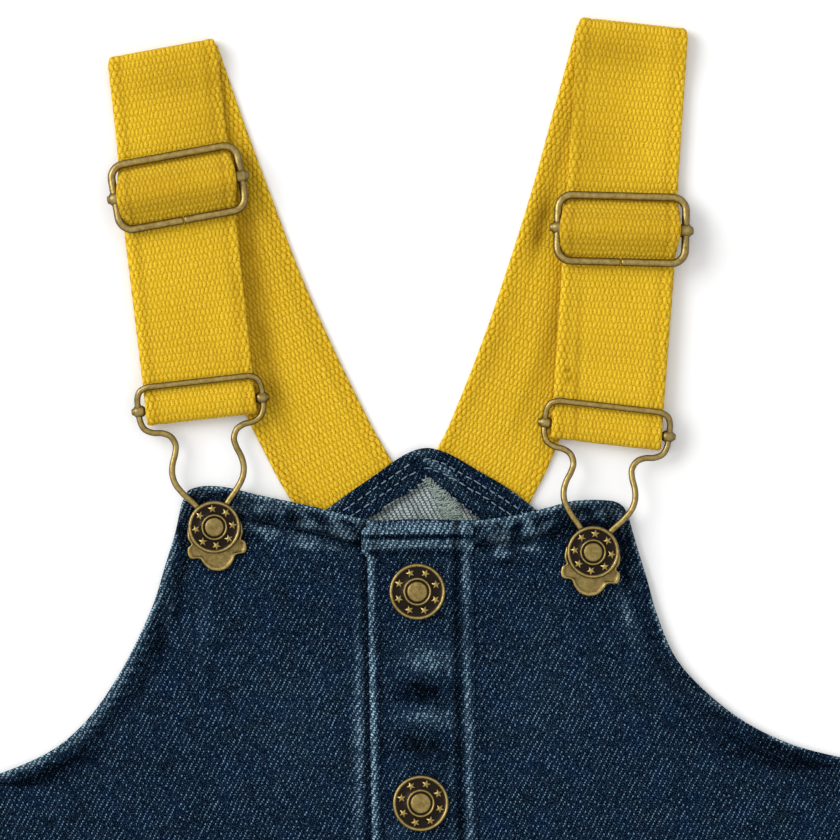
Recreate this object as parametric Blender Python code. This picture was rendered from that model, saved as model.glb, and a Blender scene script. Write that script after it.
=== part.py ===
"""Child's denim dungarees with webbing braces, laid flat on a surface with the front up.

Every length is in millimetres and becomes metres where a mesh is made (see place). The frame has +Z up
from the surface, +Y towards the braces and +X to the right as seen from above; "left" and "right" in the
names are as seen from above too. Tables give y from the top edge of the bib at the middle of the garment,
and the origin is under the middle of the bounding box.
"""

import math
from collections import namedtuple

import bmesh
import bpy
from mathutils import Matrix, Vector

# ------------------------------------------------------------------ driving sizes, in millimetres
MM = 0.001  # one millimetre in metres
GAP = 0.3  # clearance between neighbouring pieces

BODY_LENGTH = 590.0  # from the bib's top edge down to the leg hems
BRACE_REACH = 145.6  # from the bib's top edge up to the higher fold of the braces
MIDDLE_Y = (BODY_LENGTH - BRACE_REACH) / 2  # moves the origin to the middle of the length

DENIM = 1.0  # thickness of one layer of denim
WEBBING = 1.5  # thickness of the brace webbing
WEBBING_WIDTH = 32.0
BACK_STRAND_WIDTH = 30.8  # a shallow buckle along the back strand narrows it
SELVEDGE = 0.8  # how far the webbing's edges taper

HEM_RELIEF = 0.7  # how far a turned hem stands above the single cloth
BIB_HEM = 8.0
BACK_HEM = 12.0  # measured straight down the slope of the peak's sides
BACK_HEM_X = (34.0, 40.0)  # the back's hem lies under the front beyond this and isn't raised there
ARMHOLE_HEM = 5.5
LEG_HEM = 20.0
HEM_STEP = 1.2  # width of the step where a hem ends

PLACKET_LEFT = -14.8
PLACKET_RIGHT = 15.9
PLACKET_END = -172.0
PLACKET_THICK = 2.0
PLACKET_EASE = 0.1  # further clearance, since the placket bends less than the cloth under it
PLACKET_LEAN = 0.016  # how far the placket runs to the right for each unit down
UNDERLAP = 8.0  # how far the left front runs past the middle, under the placket
UNDERLAP_RAMP = 12.0

BUTTON_RADIUS = 8.2
BUTTON_STEP = (1.0, -61.2)
BUTTON_COUNT = 3
TOP_BUTTON = (-0.2, -20.6)
CLIP_BUTTON_RADIUS = 7.65
SHANK_RADIUS = 2.5
SHANK_LENGTH = 0.9  # of the placket's buttons
SHANK_HOLE = 0.4  # clearance round a shank in the clip's plate
BUTTON_SIDES = 18
RIM_CORNER = 0.7  # the rolled rim is rounded off this far in
RIM_HEIGHT = 1.6
FIELD_HEIGHT = 1.2  # of the sunken face at the rim
DOME_HEIGHT = 2.1

SLIDER_WIRE = 1.15  # radius
SLIDER_HALF = (18.5, 9.55)  # half the frame's width and height, between wire centres
SLIDER_CORNER = 4.0
SLIDER_HEIGHTS = (5.6, 7.2)  # wire centre above the surface, at the upper and the lower bar
CLIP_WIRE = 0.9
CLIP_LENGTH = 42.4  # from the button's centre up to the clip's top bar
CLIP_BAR = 6.7  # from the top bar down to the clip's own bar
CLIP_TOP_HEIGHT = 6.4
BAR_RADIUS = 0.9
BEAD_WALL = 0.5  # metal round the wire in a bar's beaded end
BEAD_SIDES = 10
FINE_CLEAR = 0.02  # further clearance where two round pieces lie side by side
CLIP_HOLE_CLEAR = 0.15  # the clip's wire runs freer in its bar's ends
PLATE_THICK = 1.0

# ------------------------------------------------------------------ cloth outlines, one row for each section
# Halves are given on the +X side. side is the outer edge, inner is the edge at the middle or the inside leg.
Row = namedtuple("Row", "side_x side_y inner_x inner_y")

LEG_HEM_ROWS = (
    Row(146.0, -590.0, 36.0, -590.0),
    Row(146.3, -570.0, 34.2, -570.0),  # the hem's stitch line
)
LEG_AND_BODY = (
    Row(146.4, -568.8, 34.1, -568.8),
    Row(148.0, -500.0, 28.5, -500.0),
    Row(149.4, -430.0, 21.5, -430.0),  # knee
    Row(150.0, -360.0, 12.0, -360.0),
    Row(149.8, -315.0, 3.5, -318.0),
    Row(149.2, -296.0, 0.0, -300.0),  # crotch
    Row(146.5, -255.0, 0.0, -262.0),
    Row(142.0, -205.0, 0.0, -215.0),  # hip
    Row(137.0, -155.0, 0.0, -168.0),
    Row(134.6, -115.0, 0.0, -128.0),  # waist
    Row(134.4, -90.0, 0.0, -102.0),
)
FRONT_LEFT_ARMHOLE = (
    Row(135.0, -77.0, 0.0, -88.0),  # underarm
    Row(121.2, -73.4, 0.0, -76.0),
    Row(106.1, -66.7, 0.0, -65.0),
    Row(96.0, -58.0, 0.0, -55.0),
    Row(87.6, -46.4, 0.0, -45.0),
    Row(81.4, -35.0, 0.0, -35.5),
    Row(76.5, -23.8, 0.0, -26.0),
    Row(73.2, -13.0, 0.0, -17.0),
    Row(71.0, -5.6, 0.0, -9.2),
    Row(70.5, -4.2, 0.0, -8.0),  # the hem's stitch line
    Row(68.6, 4.5, 0.0, 0.0),  # corner of the bib
)
FRONT_RIGHT_ARMHOLE = (
    Row(135.0, -71.0, 0.0, -88.0),
    Row(122.4, -68.7, 0.0, -76.0),
    Row(107.8, -64.8, 0.0, -65.0),
    Row(94.0, -58.0, 0.0, -55.0),
    Row(82.0, -48.4, 0.0, -45.0),
    Row(74.4, -39.4, 0.0, -35.5),
    Row(69.2, -27.2, 0.0, -26.0),
    Row(66.2, -16.6, 0.0, -17.0),
    Row(63.6, -8.2, 0.0, -9.2),
    Row(63.2, -6.8, 0.0, -8.0),
    Row(60.9, 1.5, 0.0, 0.0),
)
BACK_ARMHOLE = (
    Row(134.6, -77.5, 0.0, -88.0),
    Row(121.0, -75.6, 0.0, -76.0),
    Row(108.0, -70.6, 0.0, -64.0),
    Row(96.0, -62.8, 0.0, -52.0),
    Row(84.6, -53.6, 0.0, -40.0),
    Row(76.0, -45.2, 0.0, -28.0),
    Row(70.0, -38.6, 0.0, -16.0),
    Row(65.5, -33.5, 0.0, -4.0),
    Row(61.4, -29.2, 0.0, 7.7),
    Row(61.0, -28.7, 0.0, 8.9),  # the hem's stitch line
    Row(58.0, -25.5, 0.0, 20.9),  # end of the slope; the peak
)
Point = namedtuple("Point", "x y")
FRONT_TOP = (  # the bib's top edge, pulled up where the clips hold it
    Point(-68.6, 4.5),
    Point(-66.4, 8.7),
    Point(-57.9, 9.8),
    Point(-45.7, 7.2),
    Point(-30.0, 3.9),
    Point(-14.1, 0.1),
    Point(0.0, 0.4),
    Point(15.0, 0.0),
    Point(25.5, 1.0),
    Point(38.0, 3.8),
    Point(45.0, 5.6),
    Point(56.0, 5.6),
    Point(59.4, 4.0),
    Point(60.9, 1.5),
)
BACK_TOP = (  # the back's top edge, rising to a blunt peak between the braces
    Point(-58.0, -25.5),
    Point(-41.0, -8.5),
    Point(-24.1, 4.9),
    Point(-11.0, 14.1),
    Point(-4.0, 18.9),
    Point(2.0, 20.9),
    Point(8.0, 19.6),
    Point(16.0, 15.2),
    Point(29.6, 6.7),
    Point(44.0, -6.5),
    Point(58.0, -25.5),
)
TOP_EDGE_BLEND = 48.0  # how far below the top edge its shape fades out

# ------------------------------------------------------------------ relief of the laid cloth
Fold = namedtuple("Fold", "x y length width turn height")
LOFT = 0.9  # how far the front stands off the back where nothing presses on it
FOLDS = (
    Fold(-82.0, -118.0, 42.0, 11.0, 22.0, 0.9),
    Fold(88.0, -112.0, 38.0, 10.0, -26.0, 0.8),
    Fold(-72.0, -196.0, 55.0, 13.0, -14.0, 0.8),
    Fold(66.0, -206.0, 50.0, 12.0, 18.0, 0.9),
    Fold(-44.0, -292.0, 46.0, 10.0, 34.0, 1.3),
    Fold(46.0, -288.0, 44.0, 10.0, -31.0, 1.4),
    Fold(-92.0, -338.0, 48.0, 12.0, 12.0, 1.0),
    Fold(96.0, -352.0, 44.0, 11.0, -9.0, 1.1),
    Fold(-80.0, -428.0, 50.0, 12.0, -20.0, 1.4),
    Fold(84.0, -436.0, 46.0, 11.0, 24.0, 1.3),
    Fold(-98.0, -506.0, 40.0, 10.0, 16.0, 1.0),
    Fold(90.0, -512.0, 42.0, 11.0, -13.0, 1.1),
)
UNDERARM = -77.0  # below this the front's sides are sewn to the back's
EDGE_RAMP = 24.0  # the loft falls to nothing within this distance of a seam or hem
BIB_PRESSED = (-34.0, -62.0)  # y between which the loft fades out towards the bib

# Where the braces' tails lie under the back, the cloth above is carried over them: full height inside the
# first value, none beyond the second.
BACK_LIFT = WEBBING + GAP
BACK_LIFT_X = (35.5, 42.5)
BACK_LIFT_Y = (-16.0, -30.0)
FRONT_LIFT = BACK_LIFT + HEM_RELIEF
FRONT_LIFT_X = (41.0, 52.0)
FRONT_LIFT_Y = (-18.0, -44.0)

# ------------------------------------------------------------------ braces, one of each on both sides
# fold is the middle of the folded top, clip the centre of the bib button; turns are anticlockwise in degrees.
Brace = namedtuple("Brace", "side fold fold_turn slider slider_turn clip clip_turn back_route")
BRACES = (
    Brace(
        "left",
        Point(-74.0, 134.5),
        10.4,
        Point(-69.4, 96.2),
        10.3,
        Point(-58.9, -2.0),
        6.5,
        (
            Point(-65.9, 111.1),
            Point(-57.6, 88.9),
            Point(-49.1, 66.6),
            Point(-39.2, 44.2),
            Point(-28.2, 21.9),
            Point(-22.8, 12.4),
            Point(-13.3, -4.0),
        ),
    ),
    Brace(
        "right",
        Point(62.2, 141.7),
        -6.2,
        Point(58.9, 84.2),
        -1.5,
        Point(50.6, -9.2),
        -6.5,
        (
            Point(54.1, 112.3),
            Point(47.8, 89.8),
            Point(40.7, 67.6),
            Point(33.0, 45.4),
            Point(23.9, 22.7),
            Point(19.3, 13.4),
            Point(10.6, -4.0),
        ),
    ),
)
FOLD_RADIUS = 1.6  # centre line of the webbing round its top fold
ON_FLOOR = WEBBING / 2  # centre line of the back strand
ON_BACK = ON_FLOOR + WEBBING + GAP  # centre line of what lies on the back strand
ON_RETURN = ON_BACK + WEBBING + GAP
BAR_HEIGHT = sum(SLIDER_HEIGHTS) / 2
PLY_CLEAR = BAR_RADIUS + GAP + WEBBING / 2  # from a bar's centre to the centre line of webbing round it
OVER_BAR = BAR_HEIGHT + PLY_CLEAR
HUMP = OVER_BAR + WEBBING + GAP  # front strand where it rides over the wrapped bar
HUMP_HALF = 10.3
RETURN_SHIFT = 0.5  # the return strand comes back to the slider's bar this far off the front strand
WRAP_WIDTH = 30.8  # the webbing is drawn in between the slider's beads
WRAP_HALF = 2.45  # half-width of the webbing's wrap round the slider's bar
WRAP_TAIL = 40.0  # degrees that the wrapped end runs past the top of the bar
SETTLE = 18.0  # length in which the front strand comes down from the fold
CLIP_WRAP_HALF = 3.65
CLIP_BAR_HEIGHT = ON_BACK + PLY_CLEAR + FINE_CLEAR
OVER_CLIP_BAR = CLIP_BAR_HEIGHT + PLY_CLEAR + FINE_CLEAR
CLIP_HALF = 18.0  # half the clip's width, between wire centres
CLIP_SLOPE = (CLIP_TOP_HEIGHT - CLIP_BAR_HEIGHT) / CLIP_BAR  # rise of the wire above the bar
BRACE_TRIM = 0.3  # the tails are cut off this far from the middle of the back


# ------------------------------------------------------------------ small mathematics
def ramp(value, start, end):
    """0 at start and 1 at end, with a smooth run between them; start may be the larger."""
    t = min(1.0, max(0.0, (value - start) / (end - start)))
    return t * t * (3 - 2 * t)


def mix(a, b, t):
    return a + (b - a) * t


def hermite(a, b, slope_a, slope_b, t):
    """Value between a and b at t, given the slopes over the whole interval."""
    return (
        a * (1 + 2 * t) * (1 - t) ** 2
        + slope_a * t * (1 - t) ** 2
        + b * t * t * (3 - 2 * t)
        + slope_b * t * t * (t - 1)
    )


def height_of_edge(edge, x):
    """y of a top edge at x, on a smooth curve through the edge's points."""
    points = list(edge)
    x = min(points[-1].x, max(points[0].x, x))
    i = max(k for k in range(len(points) - 1) if points[k].x <= x)
    a, b = points[i], points[i + 1]
    before, after = points[max(i - 1, 0)], points[min(i + 2, len(points) - 1)]
    span = b.x - a.x
    slope_a = (b.y - before.y) / (b.x - before.x) * span
    slope_b = (after.y - a.y) / (after.x - a.x) * span
    return hermite(a.y, b.y, slope_a, slope_b, (x - a.x) / span)


def smooth_rows(rows, steps):
    """Rows with steps - 1 more between each two, every column on a smooth curve through the rows."""
    out = []
    for i in range(len(rows) - 1):
        near = [rows[max(i - 1, 0)], rows[i], rows[i + 1], rows[min(i + 2, len(rows) - 1)]]
        for k in range(steps):
            t = k / steps
            out.append(
                [
                    hermite(a, b, (b - p) / 2, (n - a) / 2, t)
                    for p, a, b, n in zip(*near, strict=True)
                ]
            )
    out.append(list(rows[-1]))
    return out


# ------------------------------------------------------------------ making objects
def place(point):
    """A garment point in millimetres as a scene point in metres."""
    x, y, z = point
    return Vector((x * MM, (y + MIDDLE_Y) * MM, z * MM))


def clear_scene():
    for old in list(bpy.data.objects):
        bpy.data.objects.remove(old)


def make_material(name, colour, roughness, metallic=0.0):
    material = bpy.data.materials.new(name)
    material.use_nodes = True
    shader = material.node_tree.nodes["Principled BSDF"]
    shader.inputs["Base Color"].default_value = (*colour, 1.0)
    shader.inputs["Roughness"].default_value = roughness
    shader.inputs["Metallic"].default_value = metallic
    return material


def add_object(name, mesh, material, smooth=False):
    mesh.materials.append(material)
    obj = bpy.data.objects.new(name, mesh)
    bpy.context.scene.collection.objects.link(obj)
    if smooth:
        mesh.shade_smooth()
        mesh.set_sharp_from_angle(angle=math.radians(40))
    return obj


def solid(name, points, faces, material, smooth=True):
    """An object from points in millimetres, its faces turned outwards."""
    mesh = bpy.data.meshes.new(name)
    mesh.from_pydata([place(p) for p in points], [], faces)
    shape = bmesh.new()
    shape.from_mesh(mesh)
    bmesh.ops.recalc_face_normals(shape, faces=shape.faces)
    shape.to_mesh(mesh)
    shape.free()
    return add_object(name, mesh, material, smooth)


def wall(name, upper, lower, material):
    """The closed solid between two grids of points that share their rows and columns."""
    rows, columns = len(upper), len(upper[0])
    below = rows * columns
    points = [p for grid in (upper, lower) for row in grid for p in row]
    faces = []
    for r in range(rows - 1):
        for c in range(columns - 1):
            corner = r * columns + c
            quad = [corner, corner + 1, corner + columns + 1, corner + columns]
            faces.append(quad)
            faces.append([below + i for i in reversed(quad)])
    rim = [c for c in range(columns - 1)]
    rim += [r * columns + columns - 1 for r in range(rows - 1)]
    rim += [(rows - 1) * columns + c for c in range(columns - 1, 0, -1)]
    rim += [r * columns for r in range(rows - 1, 0, -1)]
    for a, b in zip(rim, rim[1:] + rim[:1], strict=True):
        faces.append([b, a, below + a, below + b])
    return solid(name, points, faces, material)


def loft(name, sections, material):
    """The closed solid through a run of sections with the same number of points."""
    size = len(sections[0])
    points = [p for section in sections for p in section]
    faces = [list(range(size)), [len(points) - size + i for i in reversed(range(size))]]
    for s in range(len(sections) - 1):
        for i in range(size):
            a, b = s * size + i, s * size + (i + 1) % size
            faces.append([a, a + size, b + size, b])
    return solid(name, points, faces, material)


def turned(name, profile, centre, sides, material):
    """A solid of revolution about +Z through centre, from (radius, height) pairs that end on the axis."""
    x, y, z = centre
    points = [(x, y, z + profile[0][1]), (x, y, z + profile[-1][1])]
    rings = profile[1:-1]
    for radius, height in rings:
        for i in range(sides):
            turn = 2 * math.pi * i / sides
            points.append((x + radius * math.cos(turn), y + radius * math.sin(turn), z + height))
    last = 2 + (len(rings) - 1) * sides
    faces = []
    for i in range(sides):
        j = (i + 1) % sides
        faces.append([0, 2 + j, 2 + i])
        faces.append([1, last + i, last + j])
        for ring in range(len(rings) - 1):
            a = 2 + ring * sides
            faces.append([a + i, a + j, a + sides + j, a + sides + i])
    return solid(name, points, faces, material)


def wire(name, route, radius, material):
    """A round wire along a route of points, with closed ends."""
    curve = bpy.data.curves.new(name, "CURVE")
    curve.dimensions = "3D"
    curve.bevel_depth = radius * MM
    curve.bevel_resolution = 2
    curve.use_fill_caps = True
    spline = curve.splines.new("POLY")
    spline.points.add(len(route) - 1)
    for target, point in zip(spline.points, route, strict=True):
        target.co = (*place(point), 1.0)
    curve.materials.append(material)
    obj = bpy.data.objects.new(name, curve)
    bpy.context.scene.collection.objects.link(obj)
    return obj


def cut(obj, cutter_mesh):
    """Takes a closed mesh out of an object with a Boolean."""
    cutter = bpy.data.objects.new(obj.name + "_cutter", cutter_mesh)
    bpy.context.scene.collection.objects.link(cutter)
    cutter.hide_render = True
    cutter.display_type = "WIRE"
    modifier = obj.modifiers.new("cut", "BOOLEAN")
    modifier.operation = "DIFFERENCE"
    modifier.object = cutter


def rod_mesh(centre, direction, radius, length, sides=16):
    """A plain closed cylinder for cutting, in metres, about centre along direction."""
    mesh = bpy.data.meshes.new("rod")
    shape = bmesh.new()
    turn = Vector((0, 0, 1)).rotation_difference(Vector(direction)).to_matrix().to_4x4()
    bmesh.ops.create_cone(
        shape,
        cap_ends=True,
        segments=sides,
        radius1=radius * MM,
        radius2=radius * MM,
        depth=length * MM,
        matrix=Matrix.Translation(place(centre)) @ turn,
    )
    shape.to_mesh(mesh)
    shape.free()
    return mesh


# ------------------------------------------------------------------ how high the cloth lies
def back_under(x, y):
    """Underside of the back: flat on the surface, carried over the braces' tails."""
    return BACK_LIFT * ramp(abs(x), BACK_LIFT_X[1], BACK_LIFT_X[0]) * ramp(y, BACK_LIFT_Y[1], BACK_LIFT_Y[0])


def fold_height(x, y):
    """Height that the folds add at a point."""
    total = 0.0
    for fold in FOLDS:
        turn = math.radians(fold.turn)
        dx, dy = x - fold.x, y - fold.y
        along = (dx * math.cos(turn) + dy * math.sin(turn)) / fold.length
        across = (dy * math.cos(turn) - dx * math.sin(turn)) / fold.width
        total += fold.height * math.exp(-(along**2) - across**2)
    return total


def front_under(x, y, from_side, from_inner):
    """Underside of the front, from the distances to its own edges."""
    over_tails = (
        FRONT_LIFT
        * ramp(abs(x), FRONT_LIFT_X[1], FRONT_LIFT_X[0])
        * ramp(y, FRONT_LIFT_Y[1], FRONT_LIFT_Y[0])
    )
    free = ramp(y, BIB_PRESSED[0], BIB_PRESSED[1]) * ramp(y, -BODY_LENGTH, -BODY_LENGTH + EDGE_RAMP)
    free *= ramp(from_side, 0, EDGE_RAMP)
    free *= ramp(from_inner, 0, EDGE_RAMP)
    return DENIM + GAP + over_tails + free * (LOFT + fold_height(x, y))


def turned_hem(depth, distance):
    """Height of a turned hem's edge at a distance from its fold."""
    return HEM_RELIEF * ramp(distance, depth + HEM_STEP, depth)


def front_relief(x, y, from_side, below_underarm):
    """How far the hems raise the front's outer face: at the bib's top, round the armhole and at the leg."""
    at_top = turned_hem(BIB_HEM, height_of_edge(FRONT_TOP, x) - y)
    at_armhole = 0.0 if below_underarm else turned_hem(ARMHOLE_HEM, from_side)
    return max(at_top, at_armhole, turned_hem(LEG_HEM, y + BODY_LENGTH))


def back_relief(x, y, from_side, below_underarm):
    """How far the hem turned inside the back's peak raises its inner face."""
    return turned_hem(BACK_HEM, height_of_edge(BACK_TOP, x) - y) * ramp(abs(x), BACK_HEM_X[1], BACK_HEM_X[0])


def top_of_front(x, y):
    """Outer face of the front and its hem near the middle and on the bib."""
    return front_under(x, y, EDGE_RAMP, EDGE_RAMP) + DENIM + front_relief(x, y, EDGE_RAMP, False)


def highest(surface, centre, radius):
    """Highest value of a surface on a round spot about centre."""
    spots = [(0.0, 0.0)] + [(math.cos(i * math.pi / 4), math.sin(i * math.pi / 4)) for i in range(8)]
    return max(surface(centre[0] + radius * dx, centre[1] + radius * dy) for dx, dy in spots)


# ------------------------------------------------------------------ the cut of the panels
Panel = namedtuple("Panel", "top_edge hem columns edge_columns under relief seam")


def column_shares(width, panel):
    """Shares of a row's width: the edge columns at their own distances, then even ones."""
    shares = [distance / width for distance in panel.edge_columns]
    start = shares[-1]
    return shares + [mix(start, 1.0, i / panel.columns) for i in range(1, panel.columns + 1)]


def follow_top(panel, row, top_row, share, x):
    """y at a share of a row, bent to follow the top edge more and more as the edge comes near."""
    y = mix(row[1], row[3], share)
    straight = mix(top_row[1], top_row[3], share)
    fade = ramp(y, straight - TOP_EDGE_BLEND, straight - panel.hem - HEM_STEP)
    return y + fade * (height_of_edge(panel.top_edge, x) - straight)


def make_panel(name, sign, rows, panel, material):
    """Half of the front or the back: bib, body and leg cut in one. sign is -1 for the left half."""
    upper, lower = [], []
    for row in rows:
        side_x, side_y, inner_x, inner_y = row
        inner_x = max(inner_x, 0.0)
        start, end = sign * side_x, sign * (inner_x + GAP / 2) + panel.seam(inner_y)
        width = abs(end - start)
        upper_line, lower_line = [], []
        for share in column_shares(width, panel):
            x = mix(start, end, share)
            y = follow_top(panel, row, rows[-1], share, x)
            from_side = share * width
            from_inner = (1 - share) * width if inner_x > 0 else EDGE_RAMP
            z = panel.under(x, y, from_side, from_inner)
            lower_line.append((x, y, z))
            upper_line.append((x, y, z + DENIM + panel.relief(x, y, from_side, side_y < UNDERARM)))
        upper.append(upper_line)
        lower.append(lower_line)
    return wall(name, upper, lower, material)


def underlap(y):
    """How far the seam between the fronts runs off the middle, to the right, where the placket covers it."""
    return UNDERLAP * ramp(y, PLACKET_END, PLACKET_END + UNDERLAP_RAMP)


FRONT = Panel(
    FRONT_TOP, BIB_HEM, 10, (0.0, ARMHOLE_HEM, ARMHOLE_HEM + HEM_STEP), front_under, front_relief, underlap
)
BACK = Panel(
    BACK_TOP, BACK_HEM, 13, (0.0,), lambda x, y, *_: back_under(x, y), back_relief, lambda y: 0.0
)


def make_placket(rows, material):
    """The folded button band on the fronts, made from the points of their rows moved out."""
    columns = 4
    upper, lower = [], []
    for row in rows:
        if row[3] < PLACKET_END:
            continue
        upper_line, lower_line = [], []
        for c in range(columns + 1):
            x = mix(PLACKET_LEFT, PLACKET_RIGHT, c / columns) - PLACKET_LEAN * row[3]
            y = follow_top(FRONT, row, rows[-1], 1 - abs(x) / row[0], x)
            under = top_of_front(x, y) + GAP + PLACKET_EASE
            lower_line.append((x, y, under))
            upper_line.append((x, y, under + PLACKET_THICK))
        upper.append(upper_line)
        lower.append(lower_line)
    return wall("placket", upper, lower, material)


# ------------------------------------------------------------------ webbing
# turn is the direction of the webbing's width in degrees, skew how far that is off square to its run.
Station = namedtuple("Station", "centre turn skew width")


def webbing_section(station, tangent):
    """Six points round the webbing at a station."""
    turn = math.radians(station.turn)
    across = Vector((math.cos(turn), math.sin(turn), 0.0))
    normal = across.cross(tangent).normalized()
    half = station.width / 2 / math.cos(math.radians(station.skew))
    flat = half - SELVEDGE
    thick = WEBBING / 2
    outline = ((-half, 0), (-flat, thick), (flat, thick), (half, 0), (flat, -thick), (-flat, -thick))
    return [station.centre + across * a + normal * n for a, n in outline]


def front_height(s, slider_s, clip_s):
    """Centre line of the front strand at distance s below the fold."""
    if s < SETTLE:
        return mix(ON_FLOOR + 2 * FOLD_RADIUS, ON_BACK, ramp(s, 0, SETTLE))
    if s < slider_s:
        return mix(ON_BACK, HUMP, ramp(s, slider_s - HUMP_HALF, slider_s))
    if s < slider_s + HUMP_HALF:
        return mix(HUMP, ON_RETURN, ramp(s, slider_s, slider_s + HUMP_HALF))
    return mix(ON_RETURN, OVER_CLIP_BAR, ramp(s, clip_s - CLIP_BAR + 0.4, clip_s))


def clip_point(brace, x, up):
    """A point of a clip in its own frame, from its button's centre, as a garment (x, y)."""
    turn = math.radians(brace.clip_turn)
    return (
        brace.clip.x + x * math.cos(turn) - up * math.sin(turn),
        brace.clip.y + x * math.sin(turn) + up * math.cos(turn),
    )


def half_turn(reach, start_height, end_height, steps, sweep=180.0):
    """Points (outward, height) of a turn round a bar, without its first point."""
    middle, half = (start_height + end_height) / 2, (start_height - end_height) / 2
    turns = [math.radians(sweep * i / steps) for i in range(1, steps + 1)]
    return [(reach * math.sin(turn), middle + half * math.cos(turn)) for turn in turns]


def back_strand(brace):
    """Stations of the strand on the surface, from its tail up to the fold."""
    route = smooth_rows([*reversed(brace.back_route), brace.fold], 2)
    stations = []
    for i, (x, y) in enumerate(route[:-1]):
        (x0, y0), (x1, y1) = route[max(i - 1, 0)], route[i + 1]
        heading = math.degrees(math.atan2(x0 - x1, y1 - y0))
        width = mix(BACK_STRAND_WIDTH, WEBBING_WIDTH, i / len(route))
        stations.append(Station(Vector((x, y, ON_FLOOR)), heading, 0.0, width))
    return stations


def top_fold(brace):
    """Stations of the fold, from the back strand over to the front strand."""
    turn = math.radians(brace.fold_turn)
    outward = Vector((-math.sin(turn), math.cos(turn), 0.0))
    fold = Vector((*brace.fold, 0.0))
    bend = [(0.0, ON_FLOOR), *half_turn(FOLD_RADIUS, ON_FLOOR, ON_FLOOR + 2 * FOLD_RADIUS, 8)]
    return [
        Station(fold + outward * out + Vector((0, 0, height)), brace.fold_turn, 0.0, WEBBING_WIDTH)
        for out, height in bend
    ]


def front_strand(brace):
    """Stations from the fold over the slider's bar, round the clip's bar and back round the slider's."""
    fold = Vector((*brace.fold, 0.0))
    bar = Vector((*clip_point(brace, 0, CLIP_LENGTH - CLIP_BAR), 0.0))
    down = (bar - fold).normalized()
    aside = Vector((-down.y, down.x, 0.0)) * (1 if brace.side == "right" else -1)
    heading = math.degrees(math.atan2(down.x, -down.y))
    clip_s = (bar - fold).length
    slider_s = (Vector((*brace.slider, 0.0)) - fold).dot(down)

    def station(s, height, shift=0.0, width=WEBBING_WIDTH):
        turn = mix(brace.fold_turn, brace.slider_turn, ramp(s, 0, slider_s - HUMP_HALF))
        turn = mix(turn, brace.clip_turn, ramp(s, slider_s + HUMP_HALF, clip_s - CLIP_BAR))
        centre = fold + down * s + aside * shift + Vector((0, 0, height))
        return Station(centre, turn, turn - heading, width)

    stops = [SETTLE / 3, SETTLE * 2 / 3, SETTLE, slider_s - HUMP_HALF - 2]
    stops += [slider_s + HUMP_HALF * k / 6 for k in range(-6, 7)]
    stops += [mix(slider_s + HUMP_HALF, clip_s - CLIP_BAR, k / 4) for k in range(1, 5)]
    stops += [clip_s - CLIP_BAR * k / 4 for k in (3, 2, 1, 0)]
    run = [station(s, front_height(s, slider_s, clip_s)) for s in stops]
    run += [station(clip_s + out, z) for out, z in half_turn(CLIP_WRAP_HALF, OVER_CLIP_BAR, ON_BACK, 8)]
    for k in range(1, 7):
        width = mix(WEBBING_WIDTH, WRAP_WIDTH, k / 6)
        run.append(station(mix(clip_s, slider_s, k / 6), ON_BACK, RETURN_SHIFT * k / 6, width))
    wrap = half_turn(WRAP_HALF, ON_BACK, OVER_BAR, 9, 180.0 + WRAP_TAIL)
    run += [station(slider_s - out, z, RETURN_SHIFT, WRAP_WIDTH) for out, z in wrap]
    return run


def make_brace(brace, material):
    """One brace of a single webbing, its tail cut off along the middle of the back."""
    path = back_strand(brace) + top_fold(brace) + front_strand(brace)
    sign = -1 if brace.side == "left" else 1
    sections = []
    for i, station in enumerate(path):
        tangent = path[min(i + 1, len(path) - 1)].centre - path[max(i - 1, 0)].centre
        section = webbing_section(station, tangent)
        for point in section:
            point.x = sign * max(sign * point.x, BRACE_TRIM)
        sections.append(section)
    return loft(f"brace_{brace.side}", sections, material)


# ------------------------------------------------------------------ metal
def corner_arc(centre, radius, start, end, steps=4):
    """Points on an arc, from start to end in degrees."""
    angles = [math.radians(mix(start, end, i / steps)) for i in range(steps + 1)]
    return [(centre[0] + radius * math.cos(a), centre[1] + radius * math.sin(a)) for a in angles]


def turned_about(origin, degrees, x, y):
    turn = math.radians(degrees)
    return (
        origin.x + x * math.cos(turn) - y * math.sin(turn),
        origin.y + x * math.sin(turn) + y * math.cos(turn),
    )


def make_slider(brace, material):
    """The slider's frame, one bent wire whose ends meet in the middle of its lower bar."""
    half_x, half_y = SLIDER_HALF
    inner_x, inner_y = half_x - SLIDER_CORNER, half_y - SLIDER_CORNER
    outline = [(GAP / 2, -half_y)]
    outline += corner_arc((inner_x, -inner_y), SLIDER_CORNER, -90, 0)
    outline += corner_arc((inner_x, inner_y), SLIDER_CORNER, 0, 90)
    outline += corner_arc((-inner_x, inner_y), SLIDER_CORNER, 90, 180)
    outline += corner_arc((-inner_x, -inner_y), SLIDER_CORNER, 180, 270)
    outline.append((-GAP / 2, -half_y))
    upper, lower = SLIDER_HEIGHTS
    route = [
        (*turned_about(brace.slider, brace.slider_turn, x, y), mix(lower, upper, (y + half_y) / 2 / half_y))
        for x, y in outline
    ]
    return wire(f"slider_{brace.side}", route, SLIDER_WIRE, material)


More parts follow.
